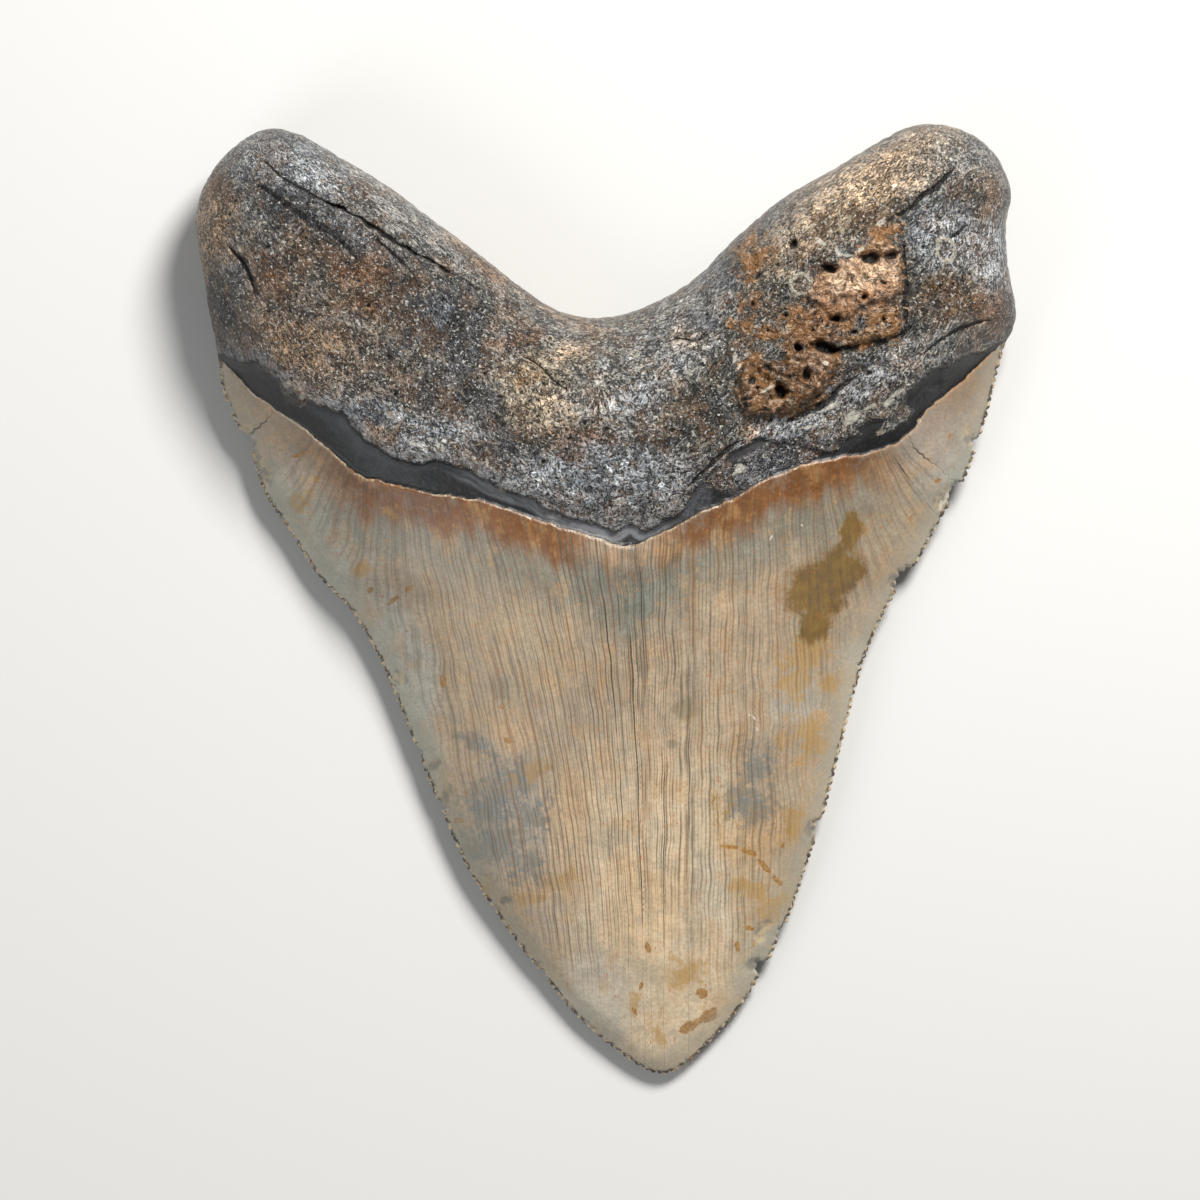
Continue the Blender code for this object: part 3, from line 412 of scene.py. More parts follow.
SLATE_STAINS = [
    (-19.0, -21.2, 2.8, 1.4, -25), (-13.6, -27.2, 4.2, 4.0, 0), (-16.6, -30.8, 6.0, 4.2, 20),
    (-10.8, -31.8, 2.8, 4.4, 0), (-16.8, -36.2, 5.4, 4.8, 20), (-12.6, -39.6, 3.4, 2.8, 0),
    (22.2, -24.6, 2.6, 3.6, 0), (21.6, -30.0, 4.0, 3.4, 0),
]
SMUDGES = [
    (11.8, -15.8, 2.5, 2.2, 0), (9.8, -21.2, 1.2, 0.9, 0), (-15.8, -13.0, 2.0, 3.0, 20),
    (2.9, -1.6, 0.8, 0.6, 0), (3.0, 1.6, 0.5, 0.7, 0),
]
MARKS = [  # small sharp stains of the enamel: x, y, half widths in X and Y, turn
    (14.3, -58.5, 0.9, 0.9, 0), (12.5, -63.5, 1.8, 0.8, 32), (15.4, -61.8, 1.6, 0.95, 32),
    (18.4, -36.6, 1.6, 0.35, -8), (21.2, -37.4, 1.5, 0.45, -22), (23.6, -39.6, 1.6, 0.45, -50),
    (25.6, -41.8, 1.2, 0.4, -40), (19.6, -51.6, 0.4, 0.9, 14), (21.4, -48.9, 0.9, 0.4, -15),
    (22.3, -51.1, 0.3, 0.55, 0), (6.2, -51.6, 0.4, 1.0, 15), (-24.2, -12.0, 0.55, 0.95, 0),
    (-15.4, -15.8, 0.55, 0.35, 40), (-14.6, -20.8, 0.75, 0.4, -35), (-22.0, -32.8, 0.9, 0.5, 0),
    (-31.6, 0.0, 1.4, 0.35, 35), (-29.2, 1.8, 1.1, 0.3, 35), (-35.0, 1.5, 0.5, 0.5, 0),
    (-9.4, -56.4, 0.8, 0.5, -30), (5.3, -57.5, 0.3, 0.8, -20), (4.3, -61.2, 0.35, 0.7, 30),
    (3.4, -33.0, 0.16, 1.0, 0), (16.0, -29.6, 0.9, 0.18, 70), (-22.4, 11.0, 0.2, 0.9, 0),
    (51.2, 24.4, 1.2, 0.22, 40), (-45.6, 21.6, 1.3, 0.3, 15), (-43.0, 18.0, 0.35, 0.8, 10),
    (-41.8, 24.0, 0.3, 0.7, 20), (26.4, -36.4, 0.3, 0.6, 0), (49.4, 17.8, 0.6, 0.4, 30),
]
PALE_MARKS = [  # white scratches and flakes: x, y, half widths in X and Y, turn
    (22.0, -17.4, 0.55, 0.2, -60), (22.4, -19.2, 0.18, 0.9, 10), (21.2, -16.8, 0.6, 0.16, -20),
    (29.0, 11.0, 0.6, 0.2, -35), (31.8, 5.0, 0.5, 0.18, -30), (24.4, 9.4, 0.2, 0.6, -20),
    (19.0, 35.6, 0.35, 0.9, -10), (19.6, 34.3, 0.8, 0.3, 50), (13.0, 24.4, 0.3, 0.7, 35),
    (12.2, 22.8, 0.25, 0.7, -10), (31.7, 53.0, 1.2, 0.4, -35), (40.6, 55.8, 1.1, 0.5, 30),
    (34.2, 51.4, 0.4, 1.1, 20), (35.6, 50.8, 1.3, 0.35, 0), (50.8, 15.4, 0.3, 1.6, -15),
    (50.0, 14.2, 0.3, 1.2, -5), (2.0, 14.5, 1.3, 0.45, 12), (37.4, 51.6, 0.9, 0.4, 30),
    (-47.2, 31.8, 0.75, 0.6, 0), (-44.8, 30.2, 0.5, 0.7, 0), (33.2, 28.6, 1.6, 0.45, 28),
    (39.0, 28.6, 1.4, 0.3, 25), (30.0, 25.6, 2.2, 0.25, 8), (43.0, 30.6, 1.5, 0.35, 30),
    (46.4, 26.6, 0.4, 0.5, 0), (23.6, 31.0, 1.7, 0.3, 28), (32.4, 34.8, 0.6, 0.45, 0),
    (-17.4, 20.4, 0.3, 0.8, 10), (19.8, 19.4, 1.0, 0.9, 0), (36.2, 27.0, 1.8, 0.9, 30),
    (-15.4, 16.2, 0.9, 0.3, -25), (-28.0, 23.0, 2.0, 0.3, -20), (41.6, 29.2, 1.0, 0.5, 40),
]


def smoothstep(low, high, value):
    share = np.clip((value - low) / (high - low), 0.0, 1.0)
    return share * share * (3.0 - 2.0 * share)


def linear(code):
    """Linear colour of a #rrggbb code."""
    values = np.array([int(code[i:i + 2], 16) / 255 for i in (1, 3, 5)])
    return np.where(values <= 0.04045, values / 12.92, ((values + 0.055) / 1.055) ** 2.4)


def smooth_curve(points, step):
    """Centripetal Catmull-Rom curve through the points, resampled at an even step."""
    ends = [2 * np.array(points[0]) - points[1], 2 * np.array(points[-1]) - points[-2]]
    knots = np.array([ends[0], *points, ends[1]], float)
    dense = []
    for before, start, stop, after in zip(knots, knots[1:], knots[2:], knots[3:]):
        pairs = ((before, start), (start, stop), (stop, after))
        t0, t1, t2, t3 = np.cumsum([0.0, *(math.dist(a, b) ** 0.5 for a, b in pairs)])
        t = np.linspace(t1, t2, 40, endpoint=False)[:, None]
        low = (t1 - t) / (t1 - t0) * before + (t - t0) / (t1 - t0) * start
        mid = (t2 - t) / (t2 - t1) * start + (t - t1) / (t2 - t1) * stop
        high = (t3 - t) / (t3 - t2) * stop + (t - t2) / (t3 - t2) * after
        low = (t2 - t) / (t2 - t0) * low + (t - t0) / (t2 - t0) * mid
        high = (t3 - t) / (t3 - t1) * mid + (t - t1) / (t3 - t1) * high
        dense.append((t2 - t) / (t2 - t1) * low + (t - t1) / (t2 - t1) * high)
    dense = np.vstack([*dense, [knots[-2]]])
    length = np.append(0.0, np.cumsum(np.linalg.norm(np.diff(dense, axis=0), axis=1)))
    even = np.linspace(0.0, length[-1], max(2, round(length[-1] / step) + 1))
    return np.column_stack([np.interp(even, length, column) for column in dense.T])


def sideways(curve):
    """Unit normals to the left of a curve, which is inward on the counterclockwise outline."""
    along = np.gradient(curve, axis=0)
    along /= np.linalg.norm(along, axis=1, keepdims=True)
    return np.column_stack([-along[:, 1], along[:, 0]])


def nearest(points, places):
    """Distance from each place to the nearest of the points, and that point's number."""
    tree = kdtree.KDTree(len(points))
    for number, (x, y) in enumerate(points):
        tree.insert((x, y, 0.0), number)
    tree.balance()
    found = [tree.find((x, y, 0.0))[1:] for x, y in places]
    numbers, distances = zip(*found)
    return np.array(distances), np.array(numbers)


def height_over(curve, places):
    """Signed distance to a line that runs from left to right, positive towards the root."""
    above = places[:, 1] - np.interp(places[:, 0], curve[:, 0], curve[:, 1])
    return nearest(curve, places)[0] * np.sign(above)


def ellipse(places, x, y, half_x, half_y, turn=0.0):
    """1 at the middle of an ellipse, 0 at its rim and below 0 outside."""
    angle = math.radians(turn)
    dx, dy = places[:, 0] - x, places[:, 1] - y
    along = dx * math.cos(angle) + dy * math.sin(angle)
    across = dy * math.cos(angle) - dx * math.sin(angle)
    return 1.0 - np.hypot(along / half_x, across / half_y)


def hill(places, x, y, half_x, half_y, height):
    """A soft round hill, or a hollow if its height is negative."""
    spread = ((places[:, 0] - x) / half_x) ** 2 + ((places[:, 1] - y) / half_y) ** 2
    return height * np.exp(-spread)


def cloud(places, size, seed, octaves=1):
    """Smooth noise from about -1 to 1, whose lumps have the given size."""
    size_x, size_y = size if isinstance(size, tuple) else (size, size)
    return np.array([
        noise.fractal((x / size_x, y / size_y, seed), 1.0, 2.0, octaves) for x, y in places
    ])


def undulation(places, seed):
    """Low lumps of the fossil bone, the same as in the solid."""
    return LUMP_HEIGHT * np.array([
        noise.noise(Vector((x / LUMP_SIZE, y / LUMP_SIZE, seed))) for x, y in places
    ])


def rounded(depth, width):
    """Quarter-circle profile: 0 at the outline, 1 from the given width inward."""
    share = np.clip(depth / width, 0.0, 1.0)
    return np.sqrt(1.0 - (1.0 - share) ** 2)


def is_inside(ring, places):
    """Whether each place lies inside the ring of points, by counting crossings to its right."""
    x1, y1 = ring.T
    x2, y2 = np.roll(ring, -1, axis=0).T
    found = []
    for x, y in places:
        crossing = (y1 > y) != (y2 > y)
        reach = x1[crossing] + (y - y1[crossing]) * (x2 - x1)[crossing] / (y2 - y1)[crossing]
        found.append((reach > x).sum() % 2 == 1)
    return np.array(found, bool)


def depth_inside(ring, places):
    """Signed distance to a closed curve through the ring's points, positive inside."""
    curve = smooth_curve([*ring, ring[0]], CURVE_STEP * 2)
    depth = -nearest(curve, places)[0]
    low, high = curve.min(axis=0), curve.max(axis=0)
    near = ((places > low) & (places < high)).all(axis=1)
    inner = np.flatnonzero(near)[is_inside(curve, places[near])]
    depth[inner] *= -1.0
    return depth


def crack_ratio(crack, places, jitter):
    """Distance to a crack over its half width there, so 1 at its rim."""
    curve = smooth_curve(crack, CURVE_STEP)
    away, number = nearest(curve[:, :2], places)
    ragged = jitter * smoothstep(2.0, 0.0, away)
    return (away + ragged) / np.maximum(curve[number, 2], 0.02)


class Outline:
    """The tooth's outline and the lines that its faces are shaped by."""

    def __init__(self, settings):
        self.pitch = settings.serration_pitch / METRES
        self.depth = settings.serration_depth / METRES
        self.cutting = smooth_curve([*LEFT_EDGE, TIP, *RIGHT_EDGE], CURVE_STEP)
        self.root = smooth_curve(ROOT_EDGE, CURVE_STEP)
        self.all = np.vstack([self.cutting, self.root])
        self.enamel_line = smooth_curve(ENAMEL_LINE, CURVE_STEP)
        self.root_line = smooth_curve(ROOT_LINE, CURVE_STEP)
        self.labial_line = smooth_curve(LABIAL_ENAMEL_LINE, CURVE_STEP)
        tip = int(self.cutting[:, 1].argmin())
        self.left, self.right = self.cutting[: tip + 1][::-1], self.cutting[tip:]
        self.rim, self.cutting_count = self.serrated_rim()

    def serrated_rim(self):
        """Points of the edge with rounded serrations of uneven size, and how many they are."""
        edge = smooth_curve([*LEFT_EDGE, TIP, *RIGHT_EDGE], EDGE_SPACING)
        run = np.arange(len(edge)) * EDGE_SPACING
        uneven = np.array([noise.noise((s / 5.0, 0.0, 3.0)) for s in run])
        size = np.array([noise.noise((s / 2.2, 4.0, 9.0)) for s in run])
        valley = 1.0 - np.abs(np.sin(math.pi * (run / self.pitch + 0.6 * uneven))) ** 0.7
        depths = self.depth * valley * np.clip(1.0 + 1.1 * size, 0.35, 1.6)
        depths += 0.16 * np.clip(np.array([noise.noise((s / 0.8, 7.0, 1.0)) for s in run]), 0, 1)
        ends = np.minimum(run, run[-1] - run)
        depths *= smoothstep(0.0, 2.0, ends)
        for x, y, half_width, depth in CHIPS:
            nearness = np.linalg.norm(edge - (x, y), axis=1) / half_width
            depths += depth * np.clip(1.0 - nearness**2, 0.0, 1.0)
        cut = edge + sideways(edge) * depths[:, None]
        root = smooth_curve(ROOT_EDGE, ROOT_EDGE_SPACING)
        rough = cloud(root, 1.3, 5.0, 2) * 0.2 * smoothstep(0, 3, nearest(edge[[0, -1]], root)[0])
        root = root + sideways(root) * (np.maximum(rough, -0.02) + 0.04)[:, None]
        root[[0, -1]] = edge[[-1, 0]]
        return np.vstack([cut[:-1], root[:-1]]), len(cut) - 1

    def across(self, places):
        """-1 at the left cutting edge, 0 on the crown's middle line, 1 at the right edge."""
        left = np.interp(places[:, 1], self.left[:, 1], self.left[:, 0])
        right = np.interp(places[:, 1], self.right[:, 1], self.right[:, 0])
        half_width = np.maximum((right - left) / 2, 0.25)
        return np.clip((places[:, 0] - (left + right) / 2) / half_width, -1.0, 1.0)


def edge_height(places):
    """Height of the outline above the surface that the tooth rests on."""
    from_tip = smoothstep(*TIP_RISE, places[:, 1])
    to_root = smoothstep(*ROOT_RISE, places[:, 1])
    blade = TIP_EDGE_HEIGHT + (BLADE_EDGE_HEIGHT - TIP_EDGE_HEIGHT) * from_tip
    return blade + (ROOT_EDGE_HEIGHT - BLADE_EDGE_HEIGHT) * to_root


def crown_bulge(outline, places):
    up = np.maximum((places[:, 1] - TIP[1]) / (NECK_Y - TIP[1]), 0.0)
    return CROWN_BULGE * up**CROWN_TAPER * (1.0 - np.abs(outline.across(places)) ** CROWN_SECTION)


def root_bulge(places, depth):
    bulge = ROOT_BULGE - LOBE_THINNING * smoothstep(*LOBE_REACH, np.abs(places[:, 0]))
    bulge += hill(places, *PROTUBERANCE) + hill(places, *LOBE_HOLLOW)
    return bulge * rounded(depth, ROOT_ROUNDING)


def grain_place(places):
    """Coordinates that run along and across the grain of the bone, which follows the lobes."""
    middle = smooth_curve(GRAIN_LINE, CURVE_STEP)
    across = places[:, 1] - np.interp(places[:, 0], middle[:, 0], middle[:, 1])
    return np.column_stack([places[:, 0], across])


def scattered_pores():
    """Small holes strewn over the root by a seeded draw."""
    draw = np.random.RandomState(PORE_SEED)
    x = draw.uniform(-57.0, 57.0, SCATTERED_PORES)
    grain = smooth_curve(GRAIN_LINE, CURVE_STEP)
    y = np.interp(x, grain[:, 0], grain[:, 1]) + draw.uniform(-13.0, 9.0, SCATTERED_PORES)
    return list(zip(x, y, draw.uniform(0.2, 0.42, SCATTERED_PORES)))


class Face:
    """One face of the tooth: its points, their heights and what its finish needs at each."""

    def __init__(self, outline, places, is_lingual):
        self.outline = outline
        self.places = places
        self.is_lingual = is_lingual
        self.depth, number = nearest(outline.all, places)
        self.inward = np.vstack([sideways(outline.cutting), sideways(outline.root)])[number]
        line = outline.enamel_line if is_lingual else outline.labial_line
        ragged = 0.22 * cloud(places, 1.5, 2.0, 2) + 0.1 * cloud(places, 0.55, 8.0)
        self.past_enamel = height_over(line, places) + ragged
        self.past_root_line = self.past_enamel - 0.6
        if is_lingual:
            uneven = 0.3 * cloud(places, 2.6, 4.0, 2)
            self.past_root_line = height_over(outline.root_line, places) + uneven
        self.bone = smoothstep(-STEP_HALF_WIDTH, STEP_HALF_WIDTH, self.past_root_line)
        self.enamel = smoothstep(-STEP_HALF_WIDTH, STEP_HALF_WIDTH, -self.past_enamel)
        self.grain = grain_place(places)
        self.warped = places + np.column_stack([
            1.3 * cloud(places, 6.0, 20.0, 2) + 0.35 * cloud(places, 1.5, 21.0),
            1.3 * cloud(places, 6.0, 30.0, 2) + 0.35 * cloud(places, 1.5, 31.0),
        ])
        self.crack = np.full(len(places), 9.0)
        self.crust = np.full(len(places), -9.0)
        self.hollow = np.zeros(len(places))

    def bone_relief(self):
        """Grain, rubble and pores of the fossil bone."""
        grain = cloud(self.grain, (GRAIN_LENGTH, GRAIN_WIDTH), 1.0, 2)
        relief = GRAIN_HEIGHT * grain + RUBBLE_HEIGHT * cloud(self.grain, RUBBLE_SIZE, 6.0, 2)
        holes = [*HOLES, *scattered_pores()] if self.is_lingual else scattered_pores()
        away, number = nearest([hole[:2] for hole in holes], self.places)
        radius = np.array([hole[2] for hole in holes])[number]
        hole = smoothstep(1.15, 0.35, away / radius)
        self.hollow = np.maximum(self.hollow, hole * self.bone)
        return relief - 1.1 * radius * hole

    def crack_relief(self):
        relief = np.zeros(len(self.places))
        if not self.is_lingual:
            return relief
        jitter = 0.1 * cloud(self.places, 0.9, 12.0, 2)
        for crack, depth in CRACKS:
            ratio = crack_ratio(crack, self.places, jitter)
            self.crack = np.minimum(self.crack, ratio / min(1.0, depth + 0.2))
            relief -= depth * np.clip(1.5 - ratio, 0.0, 1.0)
        return relief

    def crust_relief(self):
        """Raised crust with a rough porous top, pits that go down into it, and ring scars."""
        raised = np.zeros(len(self.places))
        if not self.is_lingual:
            return raised
        wavy = self.places + 0.5 * (self.warped - self.places) + 0.3 * np.column_stack([
            cloud(self.places, 1.1, 61.0, 2), cloud(self.places, 1.1, 62.0, 2)
        ])
        knobs = 0.7 - 1.8 * np.abs(cloud(self.places, 2.1, 14.0, 2))
        knobs += 0.25 * cloud(self.places, 0.8, 15.0)
        for ring, height, shoulder in CRUST_RISES:
            depth = depth_inside(ring, wavy)
            if ring is not PLATEAU:
                self.crust = np.maximum(self.crust, depth)
            rise = smoothstep(0.0, shoulder, depth)
            raised += rise * height * (1.0 + 0.5 * knobs)
        for spot in CRUST_SPOTS:
            self.crust = np.maximum(self.crust, 1.3 * ellipse(self.warped, *spot))
        for *pit, depth in PITS:
            inside = ellipse(wavy, *pit)
            wall = smoothstep(*PIT_WALL, inside)
            lip = np.clip(1.0 - np.abs(inside + 0.3) / 0.35, 0.0, 1.0)
            raised += 0.2 * lip - depth * wall
            self.hollow = np.maximum(self.hollow, wall)
        for ring in RINGS:
            inside = ellipse(self.places, *ring)
            raised += RING_HEIGHT * np.clip(1.0 - np.abs(inside - 0.18) / 0.26, 0.0, 1.0)
        return raised

    def enamel_relief(self):
        """Flakes broken off beside the edge and the flutes of the serrations."""
        relief = 0.05 * cloud(self.places, 5.0, 40.0)
        for scar in SCARS:
            relief -= 0.4 * smoothstep(0.0, 0.7, ellipse(self.places, *scar))
        flute = cloud(self.places, 0.9, 44.0) * smoothstep(1.5, 0.2, self.depth)
        return relief + 0.14 * flute

    def heights(self):
        if self.is_lingual:
            return self.lingual_heights()
        return self.labial_heights()

    def lingual_heights(self):
        on_root = smoothstep(*NECK_BLEND, self.past_enamel)
        crown = crown_bulge(self.outline, self.places)
        bulge = crown * (1.0 - on_root) + root_bulge(self.places, self.depth) * on_root
        bone = ROOT_STEP + undulation(self.places, LINGUAL_SEED) + self.bone_relief()
        band = 0.03 * cloud(self.places, 0.9, 50.0, 2)
        relief = self.enamel * (ENAMEL_STEP + self.enamel_relief()) + self.bone * bone + band
        relief += self.bone * (self.crack_relief() + self.crust_relief())
        relief *= smoothstep(0.0, RELIEF_FADE, self.depth) * 0.8 + 0.2 * smoothstep(
            0.0, 0.5, self.depth
        )
        least = LEAST_BULGE * np.minimum(self.depth, 1.0)
        return edge_height(self.places) + np.maximum(bulge + relief, least)

    def labial_heights(self):
        y = self.places[:, 1]
        on_root = smoothstep(*LABIAL_BLEND, self.past_enamel)
        filled = np.clip((y - TIP[1]) / LABIAL_TAPER_LENGTH, 0.0, 1.0) ** LABIAL_TAPER
        across = np.abs(self.outline.across(self.places)) ** LABIAL_SECTION
        crown = 1.0 - filled * (1.0 - across)
        root = 1.0 - rounded(self.depth, LABIAL_ROUNDING)
        touching = np.max([hill(self.places, *flat, 1.0) for flat in FLATS], axis=0)
        hollow = HOLLOW - FLAT_REACH * touching
        hollow += (LABIAL_STEP + undulation(self.places, LABIAL_SEED)) * on_root
        hollow -= 0.8 * self.bone_relief() * self.bone
        height = edge_height(self.places) * (crown * (1.0 - on_root) + root * on_root)
        height += hollow * smoothstep(0.0, HOLLOW_FADE, self.depth)
        ceiling = edge_height(self.places) - LEAST_BULGE * np.minimum(self.depth, 1.0)
        return np.clip(height, 0.0, ceiling)

    def growth(self):
        """Follows each place up its growth line. Returns where that starts and how far it is."""
        x, y = self.places.T.copy()
        line = self.outline.enamel_line if self.is_lingual else self.outline.labial_line
        steps = math.ceil((LATTICE_HALF_SIZE[1] * 2) / TRACE_STEP)
        for _ in range(steps):
            below = np.interp(x, line[:, 0], line[:, 1]) - y
            move = np.clip(below, 0.0, TRACE_STEP)
            fade = 1.0 - 0.55 * np.clip(below / LEAN_FADE_LENGTH, 0.0, 1.0)
            x -= np.interp(x, LEAN_X, LEAN) * fade * move
            y += move
        return x, y - self.places[:, 1]

    def lined(self, fallen):
        """How clearly the growth lines show."""
        x, y = self.places.T
        middle = 0.42 + 0.58 * np.exp(-(((x - 2.0) / 22.0) ** 2))
        near_line = 0.55 * smoothstep(17.0, 3.0, fallen)
        fade_low = 1.0 - smoothstep(-34.0, -60.0, y + 0.9 * np.abs(x - 8.0))
        edge = smoothstep(1.0, 6.0, self.depth)
        return np.clip(np.maximum(middle * fade_low, near_line), 0.0, 1.0) * edge

    def stained(self, base, stains, soft=(-0.35, 0.55)):
        """Paints soft stains over a base colour."""
        colours = np.tile(linear(PALETTE[base]), (len(self.places), 1))
        for name, x, y, half_x, half_y, turn, strength in stains:
            mask = strength * smoothstep(*soft, ellipse(self.warped, x, y, half_x, half_y, turn))
            colours += (linear(PALETTE[name]) - colours) * mask[:, None]
        return colours

    def enamel_tint(self, start, fallen):
        """Soft stains of the enamel and the bands that follow the enamel line."""
        colours = self.stained("stone", ENAMEL_STAINS)
        fingers = cloud(np.column_stack([start, 0.12 * fallen]), 1.7, 41.0, 2)
        uneven = fallen + 1.3 * cloud(self.places, 5.0, 63.0, 3) + 2.2 * fingers
        side = smoothstep(3.0, 11.0, np.abs(self.places[:, 0] - 3.0))
        corner = smoothstep(*BAND_CORNERS, np.abs(self.places[:, 0]))
        for name, come, go, at_middle, at_sides in ENAMEL_BANDS:
            mask = smoothstep(*come, uneven) * (1.0 - smoothstep(*go, uneven))
            mask *= (at_middle + (at_sides - at_middle) * side) * (1.0 - 0.75 * corner)
            colours += (linear(PALETTE[name]) - colours) * mask[:, None]
        return colours

    def fissured(self, start, fallen):
        """Offset from the nearest crack along a growth line, and its half width there."""
        offset, width = np.full(len(start), 9.0), np.zeros(len(start))
        for line, first, last, half_width in FISSURES:
            away = start - line
            shown = smoothstep(first, first + 3.0, fallen) * smoothstep(last, last - 3.0, fallen)
            shown *= half_width * smoothstep(0.6, 0.4, np.abs(away))
            is_nearer = np.abs(away) < np.abs(offset)
            offset = np.where(is_nearer, away, offset)
            width = np.where(is_nearer, shown, width)
        return offset, width

    def marked(self, marks):
        """Highest value of all the marks' ellipses, for a mark with a sharp edge."""
        wavy = self.places + 0.12 * (self.warped - self.places)
        return np.max([ellipse(wavy, *mark) for mark in marks], axis=0).clip(-1.0)

    def unrolled_grain(self, heights):
        """Place in the grain, carried outward as the surface falls, so that the grain isn't drawn
        out down the steep sides. The labial face is unrolled beyond the outline."""
        fall = ROOT_TOP - heights
        if self.is_lingual:
            fall *= smoothstep(*UNROLLED, self.depth)
        else:
            fall += 2.0 * self.depth
        along = grain_place(self.places - self.inward * fall[:, None])
        return np.column_stack([along, np.zeros(len(along))])

    def finish_fields(self, heights):
        """Everything that the material reads at each point."""
        start, fallen = self.growth()
        fissure, fissure_width = self.fissured(start, fallen)
        own = {name: np.full(len(self.places), -9.0) for name in ("pale", "ring", "scar")}
        past_bone = self.past_root_line
        if self.is_lingual:
            own = {"pale": self.marked(PALE_MARKS), "ring": self.marked(RINGS),
                   "scar": self.marked(SCARS)}
            crumbs = [1.6 * ellipse(self.warped, *crumb) for crumb in BAND_CRUMBS]
            past_bone = np.maximum(past_bone, np.max(crumbs, axis=0))
        return own | {
            "past_enamel": self.past_enamel, "past_root_line": self.past_root_line,
            "past_bone": past_bone, "rim_depth": self.depth, "growth": start, "fallen": fallen,
            "lined": self.lined(fallen), "crack": self.crack.clip(0.0, 9.0), "crust": self.crust,
            "hollow": self.hollow, "mark": self.marked(MARKS),
            "fissure": fissure, "fissure_width": fissure_width,
            "olive": self.marked(OLIVE_STAINS), "honey": self.marked(HONEY_STAINS),
            "slate": self.marked(SLATE_STAINS), "smudge": self.marked(SMUDGES),
            "grain": self.unrolled_grain(heights),
            "bone_tint": self.stained("fossil grey", BONE_STAINS),
            "crust_tint": self.stained("chestnut", CRUST_STAINS),
            "band_tint": self.stained("graphite", BAND_STAINS, (0.0, 0.4)),
            "enamel_tint": self.enamel_tint(start, fallen),
        }


def lattice(spacing):
    """Points of a triangular lattice over the tooth's box."""
    half_x, half_y = LATTICE_HALF_SIZE
    rows = np.arange(-half_y, half_y, spacing * math.sqrt(3) / 2)
    columns = np.arange(-half_x, half_x, spacing)
    shifts = (np.arange(len(rows)) % 2) * spacing / 2
    xs = (columns[None, :] + shifts[:, None]).ravel()
    return np.column_stack([xs, np.repeat(rows, len(columns))])


def crack_rows():
    """Rows of points along the cracks, so that the mesh holds their shape."""
    rows = []
    for crack, _ in CRACKS:
        curve = smooth_curve(crack, CRACK_ROW_SPACING)[:, :2]
        rows += [curve + sideways(curve) * offset for offset in CRACK_ROWS]
    return np.vstack(rows)


def inner_places(outline, line, bone_spacing, enamel_spacing, is_lingual):
    """Points inside the rim: rows beside the cutting edge and the cracks, a fine lattice on the
    bone and a coarser one on the enamel."""
    stride = round(EDGE_ROW_SPACING / CURVE_STEP)
    base, normals = outline.cutting[::stride], sideways(outline.cutting)[::stride]
    rows = np.vstack([base + normals * offset for offset in EDGE_ROWS])
    parts = []
    for spacing, is_bone in ((bone_spacing, True), (enamel_spacing, False)):
        grid = lattice(spacing)
        over = grid[:, 1] - np.interp(grid[:, 0], line[:, 0], line[:, 1])
        parts.append(grid[over > -1.0] if is_bone else grid[over <= -1.0 - spacing / 2])
    grid = np.vstack(parts)
    away, number = nearest(outline.all, grid)
    inward = ((grid - outline.all[number]) * np.vstack([
        sideways(outline.cutting), sideways(outline.root)
    ])[number]).sum(axis=1)
    grid = grid[(inward > 0) & (away > 0.25)]
    near_edge = nearest(outline.cutting, grid)[0] < EDGE_ROWS[-1] + EDGE_ROW_SPACING / 2
    grid = grid[~near_edge]
    if is_lingual:
        cracks = crack_rows()
        grid = grid[nearest(cracks, grid)[0] > 0.2]
        rows = np.vstack([rows, cracks])
    places = np.vstack([rows, grid])
    gap = nearest(outline.rim, places)[0]
    places = places[gap > 0.13]
    close = nearest(outline.rim, places)[0] < 2.5
    keep = np.ones(len(places), bool)
    keep[close] = is_inside(outline.rim, places[close])
    return places[keep]


def triangulate(rim, places):
    """Delaunay triangles of the rim and the places inside it, facing up."""
    flat = [Vector(place) for place in np.vstack([rim, places])]
    ring = list(range(len(rim)))
    corners, _, faces, sources, _, _ = geometry.delaunay_2d_cdt(flat, [], [ring], 0, 1e-7, True)
    if len(corners) != len(flat):
        raise RuntimeError("two points of a face coincide")
    faces = np.array([[sources[corner][0] for corner in face] for face in faces])
    on_rim = (faces < len(rim)).all(axis=1)
    middles = np.vstack([rim, places])[faces[on_rim]].mean(axis=1)
    keep = np.ones(len(faces), bool)
    keep[on_rim] = is_inside(rim, middles)
    return faces[keep]


def without_shared(upper, lower):
    """The triangles of both faces without those that both have, which would lie back to back.
    They are cut off by chips in the rim, with all three corners on it."""
    shared = {frozenset(face) for face in upper.tolist()}
    shared &= {frozenset(face) for face in lower.tolist()}
    return [
        np.array([face for face in faces.tolist() if frozenset(face) not in shared])
        for faces in (upper, lower)
    ]


def add_fields(mesh, fields):
    """Stores numbers, vectors and colours for each vertex."""
    for name, values in fields.items():
        values = np.ascontiguousarray(values, np.float32)
        if values.ndim == 1:
            mesh.attributes.new(name, "FLOAT", "POINT").data.foreach_set("value", values)
        elif name.endswith("tint"):
            colours = np.column_stack([values, np.ones(len(values), np.float32)])
            layer = mesh.attributes.new(name, "FLOAT_COLOR", "POINT")
            layer.data.foreach_set("color", colours.ravel())
        else:
            layer = mesh.attributes.new(name, "FLOAT_VECTOR", "POINT")
            layer.data.foreach_set("vector", values.ravel())


